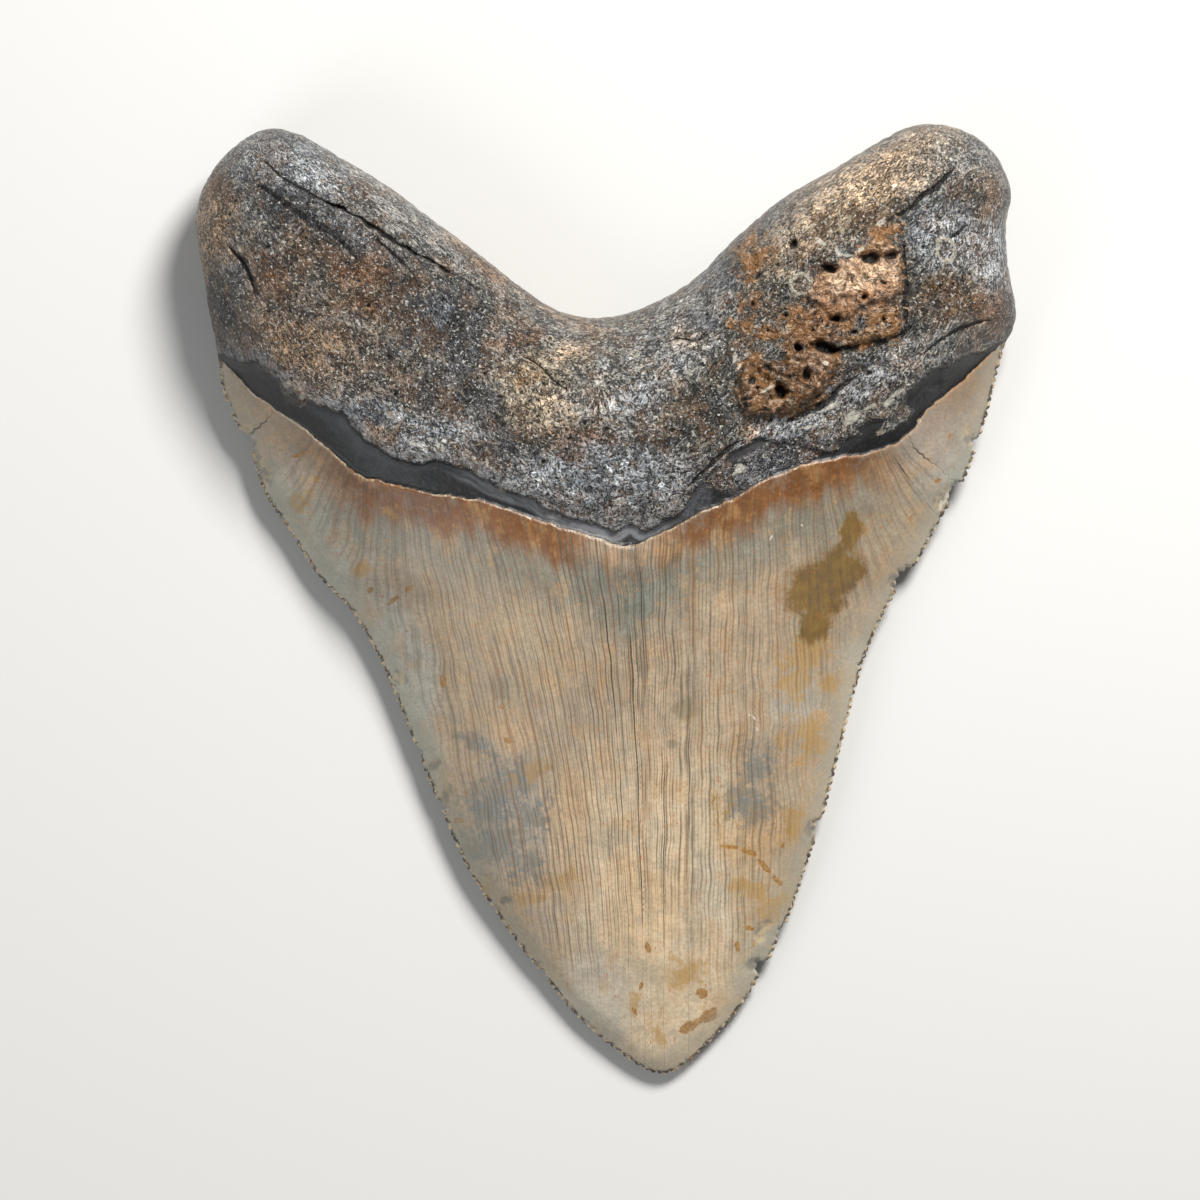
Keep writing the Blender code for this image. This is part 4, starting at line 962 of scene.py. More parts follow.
def add_bake_map(mesh, outline, flat, upper_count):
    """Lays both faces out side by side, spread where the rounded root turns steep."""
    depth, number = nearest(outline.all, flat)
    normals = np.vstack([sideways(outline.cutting), sideways(outline.root)])[number]
    turned = np.arccos(np.clip(1.0 - depth / ROOT_ROUNDING, 0.0, 1.0))
    spare = ROOT_ROUNDING * (math.pi / 2 - turned) - np.maximum(ROOT_ROUNDING - depth, 0.0)
    on_root = smoothstep(-3.0, 3.0, height_over(outline.enamel_line, flat))
    spread = flat - normals * (MAP_FLARE * spare * on_root)[:, None]
    lingual = (spread + LINGUAL_PLACE) / MAP_SIZE
    labial = (spread * (LABIAL_SCALE, -LABIAL_SCALE) + LABIAL_PLACE) / MAP_SIZE
    corners = np.empty(len(mesh.loops), np.int32)
    mesh.loops.foreach_get("vertex_index", corners)
    is_upper = np.arange(len(corners)) < upper_count * 3
    places = np.where(is_upper[:, None], lingual[corners], labial[corners])
    layer = mesh.uv_layers.new(name="OFBake")
    layer.data.foreach_set("uv", places.astype(np.float32).ravel())


def mark_cutting_edge(mesh, cutting_count):
    """Makes the cutting edge sharp, so that the two faces don't shade into each other."""
    pairs = np.empty(len(mesh.edges) * 2, np.int32)
    mesh.edges.foreach_get("vertices", pairs)
    pairs = pairs.reshape(-1, 2)
    sharp = (pairs < cutting_count).all(axis=1) & (np.abs(np.diff(pairs, axis=1)[:, 0]) == 1)
    layer = mesh.attributes.new("sharp_edge", "BOOLEAN", "EDGE")
    layer.data.foreach_set("value", sharp)


def tooth_mesh(settings):
    """Two height fields, lingual and labial, that meet in the serrated outline."""
    outline = Outline(settings)
    rim = outline.rim
    sides = []
    for is_lingual, line, bone, enamel in (
        (True, outline.enamel_line, BONE_SPACING, ENAMEL_SPACING),
        (False, outline.labial_line, LABIAL_BONE_SPACING, LABIAL_ENAMEL_SPACING),
    ):
        places = inner_places(outline, line, bone, enamel, is_lingual)
        sides.append((Face(outline, places, is_lingual), triangulate(rim, places)))
    edge = Face(outline, rim, True)
    edge.crack_relief()
    (upper_face, upper), (lower_face, lower) = sides
    shift = len(upper_face.places)
    lower = np.where(lower < len(rim), lower, lower + shift)[:, ::-1]
    upper, lower = without_shared(upper, lower)
    faces = [edge, upper_face, lower_face]
    heights = [edge_height(rim), upper_face.heights(), lower_face.heights()]
    flat = np.vstack([face.places for face in faces])
    middle = (flat.min(axis=0) + flat.max(axis=0)) / 2
    points = np.column_stack([flat - middle, np.concatenate(heights)]) * METRES

    mesh = bpy.data.meshes.new("fossil_tooth")
    mesh.from_pydata(points.tolist(), [], np.vstack([upper, lower]).tolist())
    parts = [face.finish_fields(height) for face, height in zip(faces, heights)]
    add_fields(mesh, {name: np.concatenate([p[name] for p in parts]) for name in parts[0]})
    add_bake_map(mesh, outline, flat, len(upper))
    mesh.shade_smooth()
    mark_cutting_edge(mesh, outline.cutting_count)
    return mesh


class Graph:
    """Short calls that add a material's nodes. Each returns an output socket."""

    def __init__(self, name):
        self.material = bpy.data.materials.new(name)
        self.material.use_nodes = True
        self.tree = self.material.node_tree
        self.shader = self.tree.nodes["Principled BSDF"]

    def add(self, kind, inputs, output=0, **settings):
        node = self.tree.nodes.new(kind)
        for name, value in settings.items():
            setattr(node, name, value)
        for key, value in inputs.items():
            self.plug(node.inputs[key], value)
        return node.outputs[output]

    def plug(self, socket, value):
        if isinstance(value, bpy.types.NodeSocket):
            self.tree.links.new(value, socket)
        else:
            socket.default_value = value

    def field(self, name, output=2):
        return self.add("ShaderNodeAttribute", {}, output, attribute_name=name)

    def math(self, operation, a, b=0.0, c=0.0):
        return self.add("ShaderNodeMath", {0: a, 1: b, 2: c}, operation=operation)

    def smooth(self, low, high, value, start=0.0, stop=1.0):
        values = {0: value, 1: low, 2: high, 3: start, 4: stop}
        return self.add("ShaderNodeMapRange", values, interpolation_type="SMOOTHSTEP")

    def mix(self, factor, a, b, blend="MIX"):
        values = {0: factor, 6: a, 7: b}
        return self.add("ShaderNodeMix", values, 2, data_type="RGBA", blend_type=blend)

    def blend(self, factor, a, b):
        """Mix of two numbers."""
        return self.add("ShaderNodeMix", {0: factor, 2: a, 3: b}, 0, data_type="FLOAT")

    def stretch(self, vector, scale):
        return self.add("ShaderNodeVectorMath", {0: vector, 1: scale}, operation="MULTIPLY")

    def join(self, x, y, z=0.0):
        return self.add("ShaderNodeCombineXYZ", {0: x, 1: y, 2: z})

    def noise(self, vector, size, detail=2.0, rough=0.5, output=0, dimensions="3D"):
        values = {"Vector": vector, "Scale": 1.0 / size, "Detail": detail, "Roughness": rough}
        return self.add("ShaderNodeTexNoise", values, output, noise_dimensions=dimensions)

    def flat_noise(self, vector, size, detail=2.0, rough=0.5, output=0):
        """Noise over X and Y alone, which is quicker."""
        return self.noise(vector, size, detail, rough, output, "2D")

    def contour(self, value, level, reach):
        """1 where a noise passes a level, which draws fine winding lines."""
        away = self.math("ABSOLUTE", self.math("SUBTRACT", value, level))
        return self.smooth(reach, reach * 0.3, away)

    def drifted(self, vector, size, reach):
        """The vector moved about in X and Y by noise, up to the reach."""
        drift = self.add("ShaderNodeVectorMath", {0: self.flat_noise(vector, size, 1.0, output=1),
                                                  1: (0.5, 0.5, 0.5)}, operation="SUBTRACT")
        drift = self.stretch(drift, (reach, reach, reach))
        return self.add("ShaderNodeVectorMath", {0: vector, 1: drift}, operation="ADD")

    def grey(self, value):
        """A number as a grey colour, to multiply a colour by."""
        return self.add("ShaderNodeCombineColor", {0: value, 1: value, 2: value})

    def times(self, colour, value):
        return self.mix(1.0, colour, self.grey(value), "MULTIPLY")


def rgba(code):
    return (*linear(code), 1.0)


class Surface:
    """The place of a point in millimetres and the noises that all the finishes share."""

    def __init__(self, graph):
        metres = graph.add("ShaderNodeTexCoord", {}, 3)
        self.place = graph.stretch(metres, (1 / METRES, 1 / METRES, 1 / METRES))
        self.x = graph.add("ShaderNodeSeparateXYZ", {0: self.place}, 0)
        self.patches = graph.noise(self.place, 6.5, 4.0, 0.66)
        self.clouds = graph.noise(self.place, 2.4, 4.0, 0.7)
        self.warm = graph.noise(graph.stretch(self.place, (1.0, 0.75, -1.0)), 4.0, 4.0, 0.7)
        self.fine = graph.noise(self.place, 0.46, 2.0, 0.65)
        self.crumb = graph.math("SUBTRACT", graph.noise(self.place, 0.9, 3.0, 0.7), 0.5)


def growth_lines(graph, growth, along, spacing, widest):
    """Lines at an uneven spacing across the growth. Returns the lines and a tone for each gap."""
    values = {"W": growth, "Scale": 1.0 / spacing, "Randomness": 0.85}
    edge = graph.add("ShaderNodeTexVoronoi", values, 0, voronoi_dimensions="1D",
                     feature="DISTANCE_TO_EDGE")
    cell = graph.add("ShaderNodeTexVoronoi", values, 1, voronoi_dimensions="1D")
    tone = graph.add("ShaderNodeSeparateColor", {0: cell}, 0)
    clear = graph.smooth(0.34, 0.6, graph.flat_noise(along, spacing, 2.0))
    width = graph.math("MULTIPLY_ADD", clear, widest * 0.5 / spacing, widest * 0.5 / spacing)
    line = graph.add("ShaderNodeMapRange", {0: edge, 1: width, 2: 0.0, 3: 0.0, 4: 1.0})
    return graph.math("MULTIPLY", line, graph.math("MULTIPLY_ADD", clear, 0.7, 0.3)), tone


def stain_mask(graph, name, frayed, low, high, strength):
    """Mask of a stain's field, whose edge is frayed by noise."""
    return graph.smooth(low, high, graph.math("ADD", graph.field(name), frayed), 0.0, strength)


def enamel_look(graph, surface, settings):
    """Colour, roughness and height of the enamel, with its growth lines."""
    place, clouds, fine, crumb = surface.place, surface.clouds, surface.fine, surface.crumb
    wobble = graph.math("SUBTRACT", graph.flat_noise(place, 7.0, 1.0), 0.5)
    growth = graph.math("MULTIPLY_ADD", wobble, 0.9, graph.field("growth"))
    fallen = graph.field("fallen")
    along = graph.join(graph.math("MULTIPLY", growth, 0.9), graph.math("MULTIPLY", fallen, 0.1))
    corner = graph.smooth(47.0, 41.0, graph.math("ABSOLUTE", growth))
    lined = graph.math("MULTIPLY", graph.field("lined"), corner)
    spacing = settings.line_spacing / METRES
    bold, tone = growth_lines(graph, growth, along, spacing, 0.26)
    hair, fine_tone = growth_lines(graph, graph.math("ADD", growth, 40.0), along,
                                   spacing * 0.5, 0.15)
    thread = graph.math("MULTIPLY", graph.math("MAXIMUM", bold, graph.math(
        "MULTIPLY", hair, 0.75)), lined)

    tint = graph.field("enamel_tint", 0)
    colour = graph.times(tint, graph.smooth(0.3, 0.7, surface.patches, 0.9, 1.1))
    warm, cool = graph.smooth(0.5, 0.66, surface.warm), graph.smooth(0.48, 0.36, surface.warm)
    colour = graph.mix(graph.math("MULTIPLY", warm, 0.34), colour, rgba("#be9560"))
    colour = graph.mix(graph.math("MULTIPLY", cool, 0.22), colour, rgba("#919286"))
    colour = graph.times(colour, graph.smooth(0.3, 0.7, clouds, 0.9, 1.1))
    colour = graph.times(colour, graph.smooth(0.25, 0.75, fine, 0.86, 1.14))
    streak = graph.math("MULTIPLY_ADD", tone, 0.11, 0.9)
    streak = graph.math("MULTIPLY_ADD", fine_tone, 0.1, streak)
    colour = graph.times(colour, graph.blend(lined, 1.0, streak))

    tatter = graph.math("MULTIPLY_ADD", surface.warm, 2.6, -3.1)
    tatter = graph.math("MULTIPLY_ADD", clouds, 3.6, tatter)
    slate = stain_mask(graph, "slate", graph.math("MULTIPLY_ADD", crumb, 3.0, tatter),
                       -0.5, 0.8, 0.85)
    colour = graph.mix(slate, colour, graph.mix(graph.smooth(0.4, 0.6, clouds),
                                                rgba("#667071"), rgba("#7c7668")))
    honey = stain_mask(graph, "honey", graph.math("MULTIPLY_ADD", crumb, 0.9, tatter),
                       -0.1, 0.8, 0.62)
    colour = graph.mix(honey, colour, rgba("#a58040"))
    olive = stain_mask(graph, "olive", graph.math("MULTIPLY", tatter, 0.35), -0.1, 0.4, 0.88)
    colour = graph.mix(olive, colour, graph.mix(graph.smooth(0.35, 0.65, clouds),
                                                rgba("#7c6029"), rgba("#634a21")))
    smudge = stain_mask(graph, "smudge", graph.math("MULTIPLY", tatter, 0.4), 0.0, 0.5, 0.5)
    colour = graph.mix(smudge, colour, rgba("#706c56"))

    ochre = graph.flat_noise(along, 2.2, 1.0)
    line_colour = graph.mix(graph.smooth(0.56, 0.66, ochre), rgba(settings.line_code),
                            rgba("#6d4a28"))
    colour = graph.mix(graph.math("MULTIPLY", thread, 0.95), colour, line_colour)
    off = graph.math("ABSOLUTE", graph.math("MULTIPLY_ADD", wobble, 0.9, graph.field("fissure")))
    fissure = graph.smooth(-0.07, 0.07, graph.math(
        "SUBTRACT", graph.math("MULTIPLY", graph.field("fissure_width"), 1.3), off))
    colour = graph.mix(graph.math("MULTIPLY", fissure, 0.85), colour, rgba("#332f28"))

    fleck = graph.flat_noise(graph.stretch(place, (1.7, 0.8, 1.0)), 1.3, 3.0, 0.75)
    fleck = graph.smooth(0.67, 0.73, fleck, 0.0, 0.75)
    colour = graph.mix(fleck, colour, rgba("#a96a30"))
    mark = stain_mask(graph, "mark", graph.math("MULTIPLY", crumb, 1.2), -0.1, 0.15, 0.85)
    colour = graph.mix(mark, colour, graph.mix(graph.smooth(0.4, 0.6, fine), rgba("#8a602c"),
                                               rgba("#a17940")))

    depth = graph.field("rim_depth")
    cold_edge = graph.smooth(7.5, 1.0, graph.math("MULTIPLY_ADD", clouds, 5.0, depth), 0.0, 0.6)
    colour = graph.mix(cold_edge, colour, rgba("#a1a294"))
    worn = graph.math("MULTIPLY_ADD", crumb, 1.2, depth)
    bead = graph.mix(graph.smooth(-0.05, 0.06, crumb), rgba("#33271b"), rgba("#cdb793"))
    bead = graph.mix(graph.smooth(0.56, 0.66, clouds, 0.0, 0.7), bead, rgba("#87562a"))
    colour = graph.mix(graph.smooth(0.72, 0.34, worn, 0.0, 0.92), colour, bead)
    scar = stain_mask(graph, "scar", crumb, 0.0, 0.4, 0.6)
    chip = graph.mix(graph.smooth(0.4, 0.6, clouds), rgba("#6d6b64"), rgba("#bfa983"))
    colour = graph.mix(scar, colour, chip)

    pale = stain_mask(graph, "pale", graph.math("MULTIPLY", crumb, 0.7), 0.0, 0.3, 0.6)
    colour = graph.mix(pale, colour, rgba("#dcd3c2"))
    line_rim = graph.math("ABSOLUTE", graph.math("ADD", graph.field("past_enamel"), 0.14))
    line_rim = graph.math("MULTIPLY", graph.smooth(0.22, 0.05, line_rim),
                          graph.smooth(-0.03, 0.09, crumb, 0.05, 0.75))
    right_side = graph.smooth(24.0, 34.0, surface.x)
    colour = graph.mix(line_rim, colour, graph.mix(right_side, rgba("#bdb19b"), rgba("#9d744c")))

    rough = graph.smooth(0.3, 0.7, clouds, settings.enamel_roughness - 0.05,
                         settings.enamel_roughness + 0.07)
    rough = graph.blend(graph.smooth(0.9, 0.2, depth), rough, 0.55)
    height = graph.math("MULTIPLY_ADD", thread, -0.035, graph.math("MULTIPLY", fine, 0.02))
    height = graph.math("MULTIPLY_ADD", fissure, -0.08, height)
    return colour, rough, height


def band_look(graph, surface):
    """The bourlette: smooth and dark, with a fine dust of paler grains."""
    fine, soft = surface.fine, surface.clouds
    colour = graph.times(graph.field("band_tint", 0), graph.smooth(0.3, 0.7, fine, 0.5, 1.6))
    colour = graph.times(colour, graph.smooth(0.3, 0.7, soft, 0.75, 1.25))
    past = graph.field("past_root_line")
    layer = graph.join(past, graph.math("MULTIPLY", surface.x, 0.12))
    stripe = graph.smooth(0.3, 0.55, graph.flat_noise(layer, 0.7, 2.0, 0.6), 0.35, 1.0)
    middle = graph.smooth(18.0, 12.0, graph.math("ABSOLUTE", graph.math("ADD", surface.x, 6.0)))
    near_root = graph.smooth(-1.9, -1.0, past, 0.0, 0.8)
    lip = graph.math("MULTIPLY", graph.math("MULTIPLY", stripe, near_root),
                     graph.math("MULTIPLY_ADD", middle, 0.9, 0.1))
    colour = graph.mix(lip, colour, rgba("#757679"))
    dust = graph.smooth(0.6, 0.72, fine, 0.0, 0.1)
    colour = graph.mix(dust, colour, rgba("#5e5e61"))
    shadow = graph.smooth(0.75, 0.1, graph.field("past_enamel"), 0.0, 0.55)
    colour = graph.mix(shadow, colour, rgba("#131312"))
    crumb = graph.math("SUBTRACT", fine, 0.5)
    pale = stain_mask(graph, "pale", graph.math("MULTIPLY", crumb, 1.2), 0.05, 0.45, 0.65)
    colour = graph.mix(pale, colour, rgba("#a39378"))
    height = graph.math("MULTIPLY", fine, 0.06)
    return colour, graph.smooth(0.3, 0.7, soft, 0.4, 0.5), height


def bone_look(graph, surface):
    """The root: glossy winding ridges with painted highlights and glints, and black pits and holes
    painted as shade, over soft stains, drawn out in a grain.
    """
    grain = graph.drifted(graph.field("grain", 1), 1.3, 0.9)
    speckle = graph.flat_noise(grain, 0.44, 2.0, 0.8)
    ridges = graph.flat_noise(grain, 0.98, 3.0, 0.75)
    clouds, patches = surface.clouds, surface.patches
    tint = graph.field("bone_tint", 0)
    colour = graph.times(tint, graph.smooth(0.36, 0.64, patches, 0.5, 1.4))
    colour = graph.times(colour, graph.smooth(0.38, 0.62, clouds, 0.65, 1.35))
    colour = graph.times(colour, graph.smooth(0.36, 0.64, ridges, 0.35, 1.65))
    colour = graph.times(colour, graph.smooth(0.34, 0.66, speckle, 0.35, 1.7))
    rusty = graph.math("MULTIPLY", graph.smooth(0.5, 0.58, surface.warm),
                       graph.smooth(0.6, 0.48, speckle))
    colour = graph.mix(graph.math("MULTIPLY", rusty, 0.6), colour, rgba("#70491f"))
    sandy = graph.math("MULTIPLY", graph.smooth(0.05, 0.12, surface.crumb),
                       graph.smooth(0.48, 0.56, patches))
    colour = graph.mix(graph.math("MULTIPLY", sandy, 0.6), colour, rgba("#a08b69"))
    bluish = graph.math("MULTIPLY", graph.smooth(0.47, 0.38, surface.warm),
                        graph.smooth(0.48, 0.6, ridges))
    colour = graph.mix(graph.math("MULTIPLY", bluish, 0.5), colour, rgba("#6b7480"))
    # Painted highlight: pale winding lines where the speckle passes a level, in a lighter copy of
    # the bone's own colour
    painted_sheen = graph.math("MULTIPLY", graph.contour(speckle, 0.56, 0.07),
                        graph.smooth(0.44, 0.58, clouds, 0.2, 0.8))
    colour = graph.mix(painted_sheen, colour, graph.mix(0.32, graph.times(tint, 2.4), rgba("#a39c92")))
    worm = graph.math("MULTIPLY", graph.contour(ridges, 0.47, 0.04),
                      graph.smooth(0.58, 0.46, clouds, 0.25, 0.95))
    colour = graph.mix(worm, colour, rgba("#0b0a09"))
    net = graph.math("MULTIPLY", graph.contour(clouds, 0.5, 0.024),
                     graph.smooth(0.46, 0.54, patches))
    colour = graph.mix(graph.math("MULTIPLY", net, 0.85), colour, rgba("#0b0a09"))
    # Painted shade: the low pores of the speckle, which also lowers the bump there, are painted
    # near black
    pit = graph.smooth(0.42, 0.35, speckle)
    colour = graph.mix(graph.math("MULTIPLY", pit, 0.85), colour, rgba("#0a0807"))
    # Painted glints: small pale specks scattered by the fine noise
    painted_glint = graph.smooth(0.6, 0.66, surface.fine, 0.0, 0.9)
    colour = graph.mix(painted_glint, colour, rgba("#bbb8b0"))

    lip = graph.math("MULTIPLY", graph.smooth(2.4, 0.6, graph.field("past_root_line")),
                     graph.smooth(0.42, 0.56, ridges))
    lip = graph.math("MULTIPLY", lip, graph.smooth(14.0, 4.0, surface.x))
    colour = graph.mix(graph.math("MULTIPLY", lip, 0.6), colour, rgba("#83868a"))
    split = graph.math("MULTIPLY_ADD", surface.crumb, 2.0, graph.field("crack"))
    crack = graph.smooth(1.5, 0.8, split, 0.0, 0.93)
    colour = graph.mix(crack, colour, rgba("#080706"))
    # Painted shade: the holes and pits that the mesh already has are painted near black
    hole = graph.smooth(0.2, 0.8, graph.field("hollow"), 0.0, 0.92)
    colour = graph.mix(hole, colour, rgba("#0b0806"))
    ring = graph.field("ring")
    rough_ring = graph.math("MULTIPLY_ADD", surface.crumb, 0.7, ring)
    scar = graph.math("MULTIPLY", graph.smooth(-0.08, 0.04, rough_ring),
                      graph.smooth(0.36, 0.24, rough_ring))
    scar = graph.math("MULTIPLY", scar, graph.smooth(0.4, 0.5, surface.fine, 0.25, 0.9))
    colour = graph.mix(scar, colour, rgba("#b9b2a0"))
    pale = stain_mask(graph, "pale", surface.crumb, 0.0, 0.4, 0.8)
    colour = graph.mix(pale, colour, rgba("#bdb7aa"))
    height = graph.math("MULTIPLY_ADD", speckle, 0.3, graph.math("MULTIPLY", ridges, 0.5))
    height = graph.math("MULTIPLY_ADD", worm, -0.1, height)
    return colour, graph.smooth(0.4, 0.6, ridges, 0.44, 0.28), height


def crust_look(graph, surface):
    """The crust: warm brown and porous, with black pits and low places painted as shade, and pale
    patches that are partly its own colour and partly painted highlight.
    """
    fine, crumb = surface.fine, surface.crumb
    knobs = graph.flat_noise(graph.drifted(surface.place, 1.8, 1.5), 1.5, 3.0, 0.72)
    colour = graph.times(graph.field("crust_tint", 0), graph.smooth(0.36, 0.64, knobs, 0.55, 1.5))
    colour = graph.times(colour, graph.smooth(0.34, 0.66, fine, 0.5, 1.5))
    rust = graph.smooth(0.46, 0.56, surface.clouds, 0.0, 0.6)
    colour = graph.mix(rust, colour, rgba("#7c5226"))
    # Pale patches: partly the crust's own pale colour, partly a painted highlight
    pale_and_highlight = graph.smooth(0.03, 0.1, crumb, 0.0, 0.5)
    colour = graph.mix(pale_and_highlight, colour, rgba("#bda791"))
    # Painted shade: the low places of the knobs, which also set the bump's height, are darkened
    painted_shade = graph.smooth(0.4, 0.3, knobs, 0.0, 0.75)
    colour = graph.mix(painted_shade, colour, rgba("#150d07"))
    # Painted shade: the pits and holes of the mesh are painted near black
    bored = graph.math("MULTIPLY_ADD", crumb, 0.8, graph.field("hollow"))
    hole = graph.smooth(0.4, 0.8, bored, 0.0, 0.95)
    colour = graph.mix(hole, colour, rgba("#070403"))
    pale = stain_mask(graph, "pale", crumb, 0.0, 0.4, 0.8)
    colour = graph.mix(pale, colour, rgba("#bdb5a6"))
    height = graph.math("MULTIPLY_ADD", knobs, 1.0, graph.math("MULTIPLY", fine, 0.3))
    return colour, graph.smooth(0.3, 0.7, fine, 0.4, 0.55), height


def tooth_material(settings):
    """Joins the four finishes along the enamel line, the root line and the crust's rim."""
    graph = Graph("fossil_tooth")
    surface = Surface(graph)
    crumb = surface.crumb
    ragged = graph.math("MULTIPLY_ADD", surface.clouds, 7.0, -3.5)
    ragged = graph.math("MULTIPLY_ADD", crumb, 3.0, ragged)
    looks = [
        (band_look(graph, surface), None),
        (bone_look(graph, surface), graph.smooth(-0.2, 0.2, graph.math(
            "MULTIPLY_ADD", crumb, 1.4, graph.field("past_bone")))),
        (crust_look(graph, surface), graph.smooth(-0.3, 0.4, graph.math(
            "ADD", ragged, graph.field("crust")))),
        (enamel_look(graph, surface, settings), graph.smooth(0.06, -0.06, graph.math(
            "MULTIPLY_ADD", crumb, 0.3, graph.field("past_enamel")))),
    ]
    (colour, rough, height), _ = looks[0]
    for (next_colour, next_rough, next_height), mask in looks[1:]:
        colour = graph.mix(mask, colour, next_colour)
        rough = graph.blend(mask, rough, next_rough)
        height = graph.blend(mask, height, next_height)
    graph.plug(graph.shader.inputs["Base Color"], colour)
    graph.plug(graph.shader.inputs["Roughness"], rough)
    bump = graph.add("ShaderNodeBump", {"Height": height, "Distance": METRES, "Strength": 1.0})
    graph.plug(graph.shader.inputs["Normal"], bump)
    graph.shader.inputs["Specular IOR Level"].default_value = 0.5
    return graph.material


class ToothSettings(bpy.types.PropertyGroup):
    serration_pitch: bpy.props.FloatProperty(
        name="Serration pitch", description="Length of one serration of the cutting edge",
        default=0.00115, min=0.0005, max=0.003, precision=5, unit="LENGTH",
    )
    serration_depth: bpy.props.FloatProperty(
        name="Serration depth", description="Depth of the notch between two serrations",
        default=0.00042, min=0.0, max=0.001, precision=5, unit="LENGTH",
    )
    line_spacing: bpy.props.FloatProperty(
        name="Growth line spacing", description="Distance between two lines of the enamel",
        default=0.0011, min=0.0004, max=0.004, precision=5, unit="LENGTH",
    )
    line_code: bpy.props.StringProperty(
        name="Growth line colour", description="Colour of the lines as a #rrggbb code",
        default="#4d473d",
    )
    enamel_roughness: bpy.props.FloatProperty(
        name="Enamel roughness", description="Roughness of the enamel's surface",
        default=0.4, min=0.0, max=1.0, subtype="FACTOR",
    )


class StageSettings(bpy.types.PropertyGroup):
    floor_colour: bpy.props.FloatVectorProperty(
        name="Floor colour", description="Colour of the plain floor", subtype="COLOR", size=3,
        default=(0.62, 0.615, 0.6), min=0.0, max=1.0,
    )
    floor_size: bpy.props.FloatProperty(
        name="Floor size", description="Side of the square floor", default=3.0, min=0.5,
        unit="LENGTH",
    )
    picture_width: bpy.props.FloatProperty(
        name="Picture width", description="Width that the picture takes in at the tooth",
        default=0.1788, min=0.05, precision=4, unit="LENGTH",
    )
    lens: bpy.props.FloatProperty(
        name="Lens", description="Focal length on a 36 mm wide sensor", default=300.0, min=20.0,
        unit="CAMERA",
    )
    key_power: bpy.props.FloatProperty(
        name="Key light", description="Power of the main light", default=7.6, min=0.0,
        unit="POWER",
    )
    fill_power: bpy.props.FloatProperty(
        name="Fill light", description="Power of the soft light across from it", default=1.8,
        min=0.0, unit="POWER",
    )
    sky_strength: bpy.props.FloatProperty(
        name="Sky strength", description="Strength of the even light from all sides",
        default=0.2, min=0.0,
    )


class FOSSIL_OT_make_tooth(bpy.types.Operator):
    """Build the tooth and its finish in place of the plain solid"""

    bl_idname = "fossil.make_tooth"
    bl_label = "Make tooth"

    def execute(self, context):
        settings = context.scene.tooth_settings
        mesh = tooth_mesh(settings)
        mesh.materials.append(tooth_material(settings))
        piece = bpy.data.objects.new("fossil_tooth", mesh)
        context.scene.collection.objects.link(piece)
        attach(piece, "root")
        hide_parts("tooth")
        return {"FINISHED"}


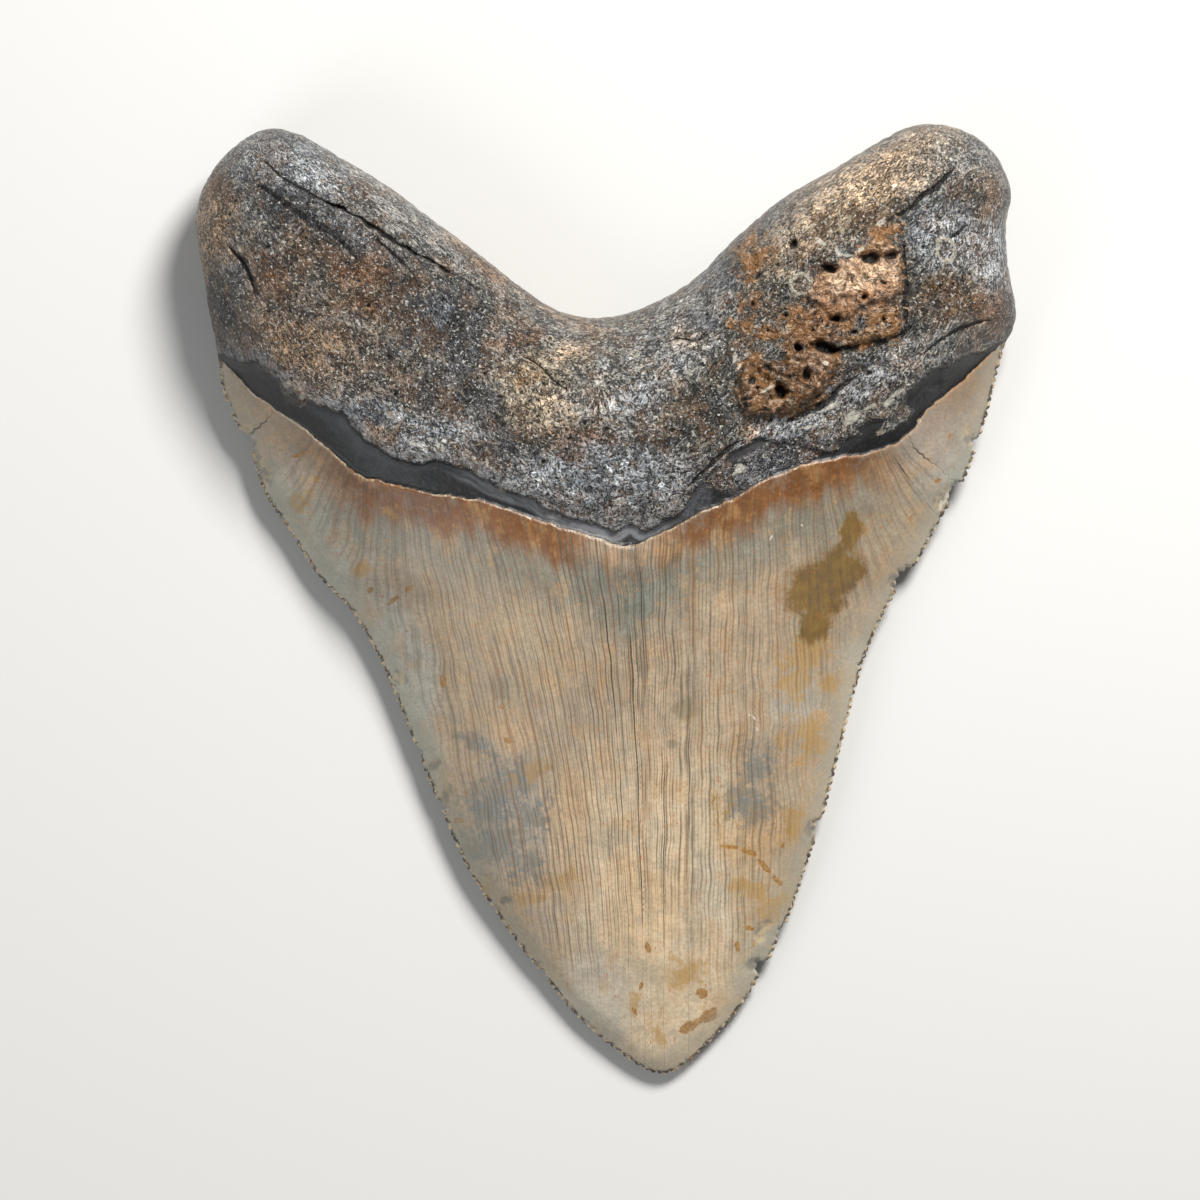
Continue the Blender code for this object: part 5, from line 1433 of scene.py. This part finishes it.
class FOSSIL_OT_make_stage(bpy.types.Operator):
    """Set up the pale floor, the soft lights and the camera that looks straight down"""

    bl_idname = "fossil.make_stage"
    bl_label = "Make stage"

    def execute(self, context):
        settings = context.scene.stage_settings
        self.make_floor(context, settings)
        self.make_light("key", (0.22, 0.42, 0.5), 0.24, settings.key_power, (1.0, 0.985, 0.96))
        self.make_light("fill", (-0.5, -0.35, 0.45), 0.5, settings.fill_power, (0.94, 0.97, 1.0))
        self.make_sky(context, settings)
        self.make_camera(context, settings)
        return {"FINISHED"}

    def make_floor(self, context, settings):
        half = settings.floor_size / 2
        mesh = bpy.data.meshes.new("floor")
        corners = [(-half, -half, 0.0), (half, -half, 0.0), (half, half, 0.0), (-half, half, 0.0)]
        mesh.from_pydata(corners, [], [(0, 1, 2, 3)])
        graph = Graph("floor")
        graph.shader.inputs["Base Color"].default_value = (*settings.floor_colour, 1.0)
        graph.shader.inputs["Roughness"].default_value = 0.9
        mesh.materials.append(graph.material)
        floor = bpy.data.objects.new("floor", mesh)
        context.scene.collection.objects.link(floor)

    def make_light(self, name, place, size, power, colour):
        light = bpy.data.lights.new(name, "AREA")
        light.shape, light.size, light.energy, light.color = "DISK", size, power, colour
        lamp = bpy.data.objects.new(name, light)
        lamp.location = place
        lamp.rotation_euler = (-Vector(place)).to_track_quat("-Z", "Y").to_euler()
        bpy.context.scene.collection.objects.link(lamp)

    def make_sky(self, context, settings):
        world = bpy.data.worlds.new("sky")
        world.use_nodes = True
        background = world.node_tree.nodes["Background"]
        background.inputs["Color"].default_value = (0.97, 0.985, 1.0, 1.0)
        background.inputs["Strength"].default_value = settings.sky_strength
        context.scene.world = world

    def make_camera(self, context, settings):
        camera = bpy.data.cameras.new("camera")
        camera.lens = settings.lens
        distance = settings.lens / camera.sensor_width * settings.picture_width
        eye = bpy.data.objects.new("camera", camera)
        eye.location = (-0.0009, 0.0, distance + 0.006)
        context.scene.collection.objects.link(eye)
        context.scene.camera = eye
        context.scene.view_settings.view_transform = "Standard"


class FOSSIL_PT_panel(bpy.types.Panel):
    """Lists the tooth's and the stage's settings and operators"""

    bl_idname = "FOSSIL_PT_panel"
    bl_label = "Fossil tooth"
    bl_space_type = "VIEW_3D"
    bl_region_type = "UI"
    bl_category = "Fossil tooth"

    def draw(self, context):
        for group, operator in (
            (context.scene.tooth_settings, FOSSIL_OT_make_tooth),
            (context.scene.stage_settings, FOSSIL_OT_make_stage),
        ):
            box = self.layout.box()
            for name in group.bl_rna.properties.keys():
                if name not in ("rna_type", "name"):
                    box.prop(group, name)
            box.operator(operator.bl_idname)


CLASSES = (
    ToothSettings, StageSettings, FOSSIL_OT_make_tooth, FOSSIL_OT_make_stage, FOSSIL_PT_panel,
)


def register():
    for item in CLASSES:
        bpy.utils.register_class(item)
    bpy.types.Scene.tooth_settings = bpy.props.PointerProperty(type=ToothSettings)
    bpy.types.Scene.stage_settings = bpy.props.PointerProperty(type=StageSettings)


def unregister():
    del bpy.types.Scene.stage_settings
    del bpy.types.Scene.tooth_settings
    for item in reversed(CLASSES):
        bpy.utils.unregister_class(item)


def main():
    register()
    bpy.ops.fossil.make_tooth()
    bpy.ops.fossil.make_stage()


if __name__ == "__main__":
    main()
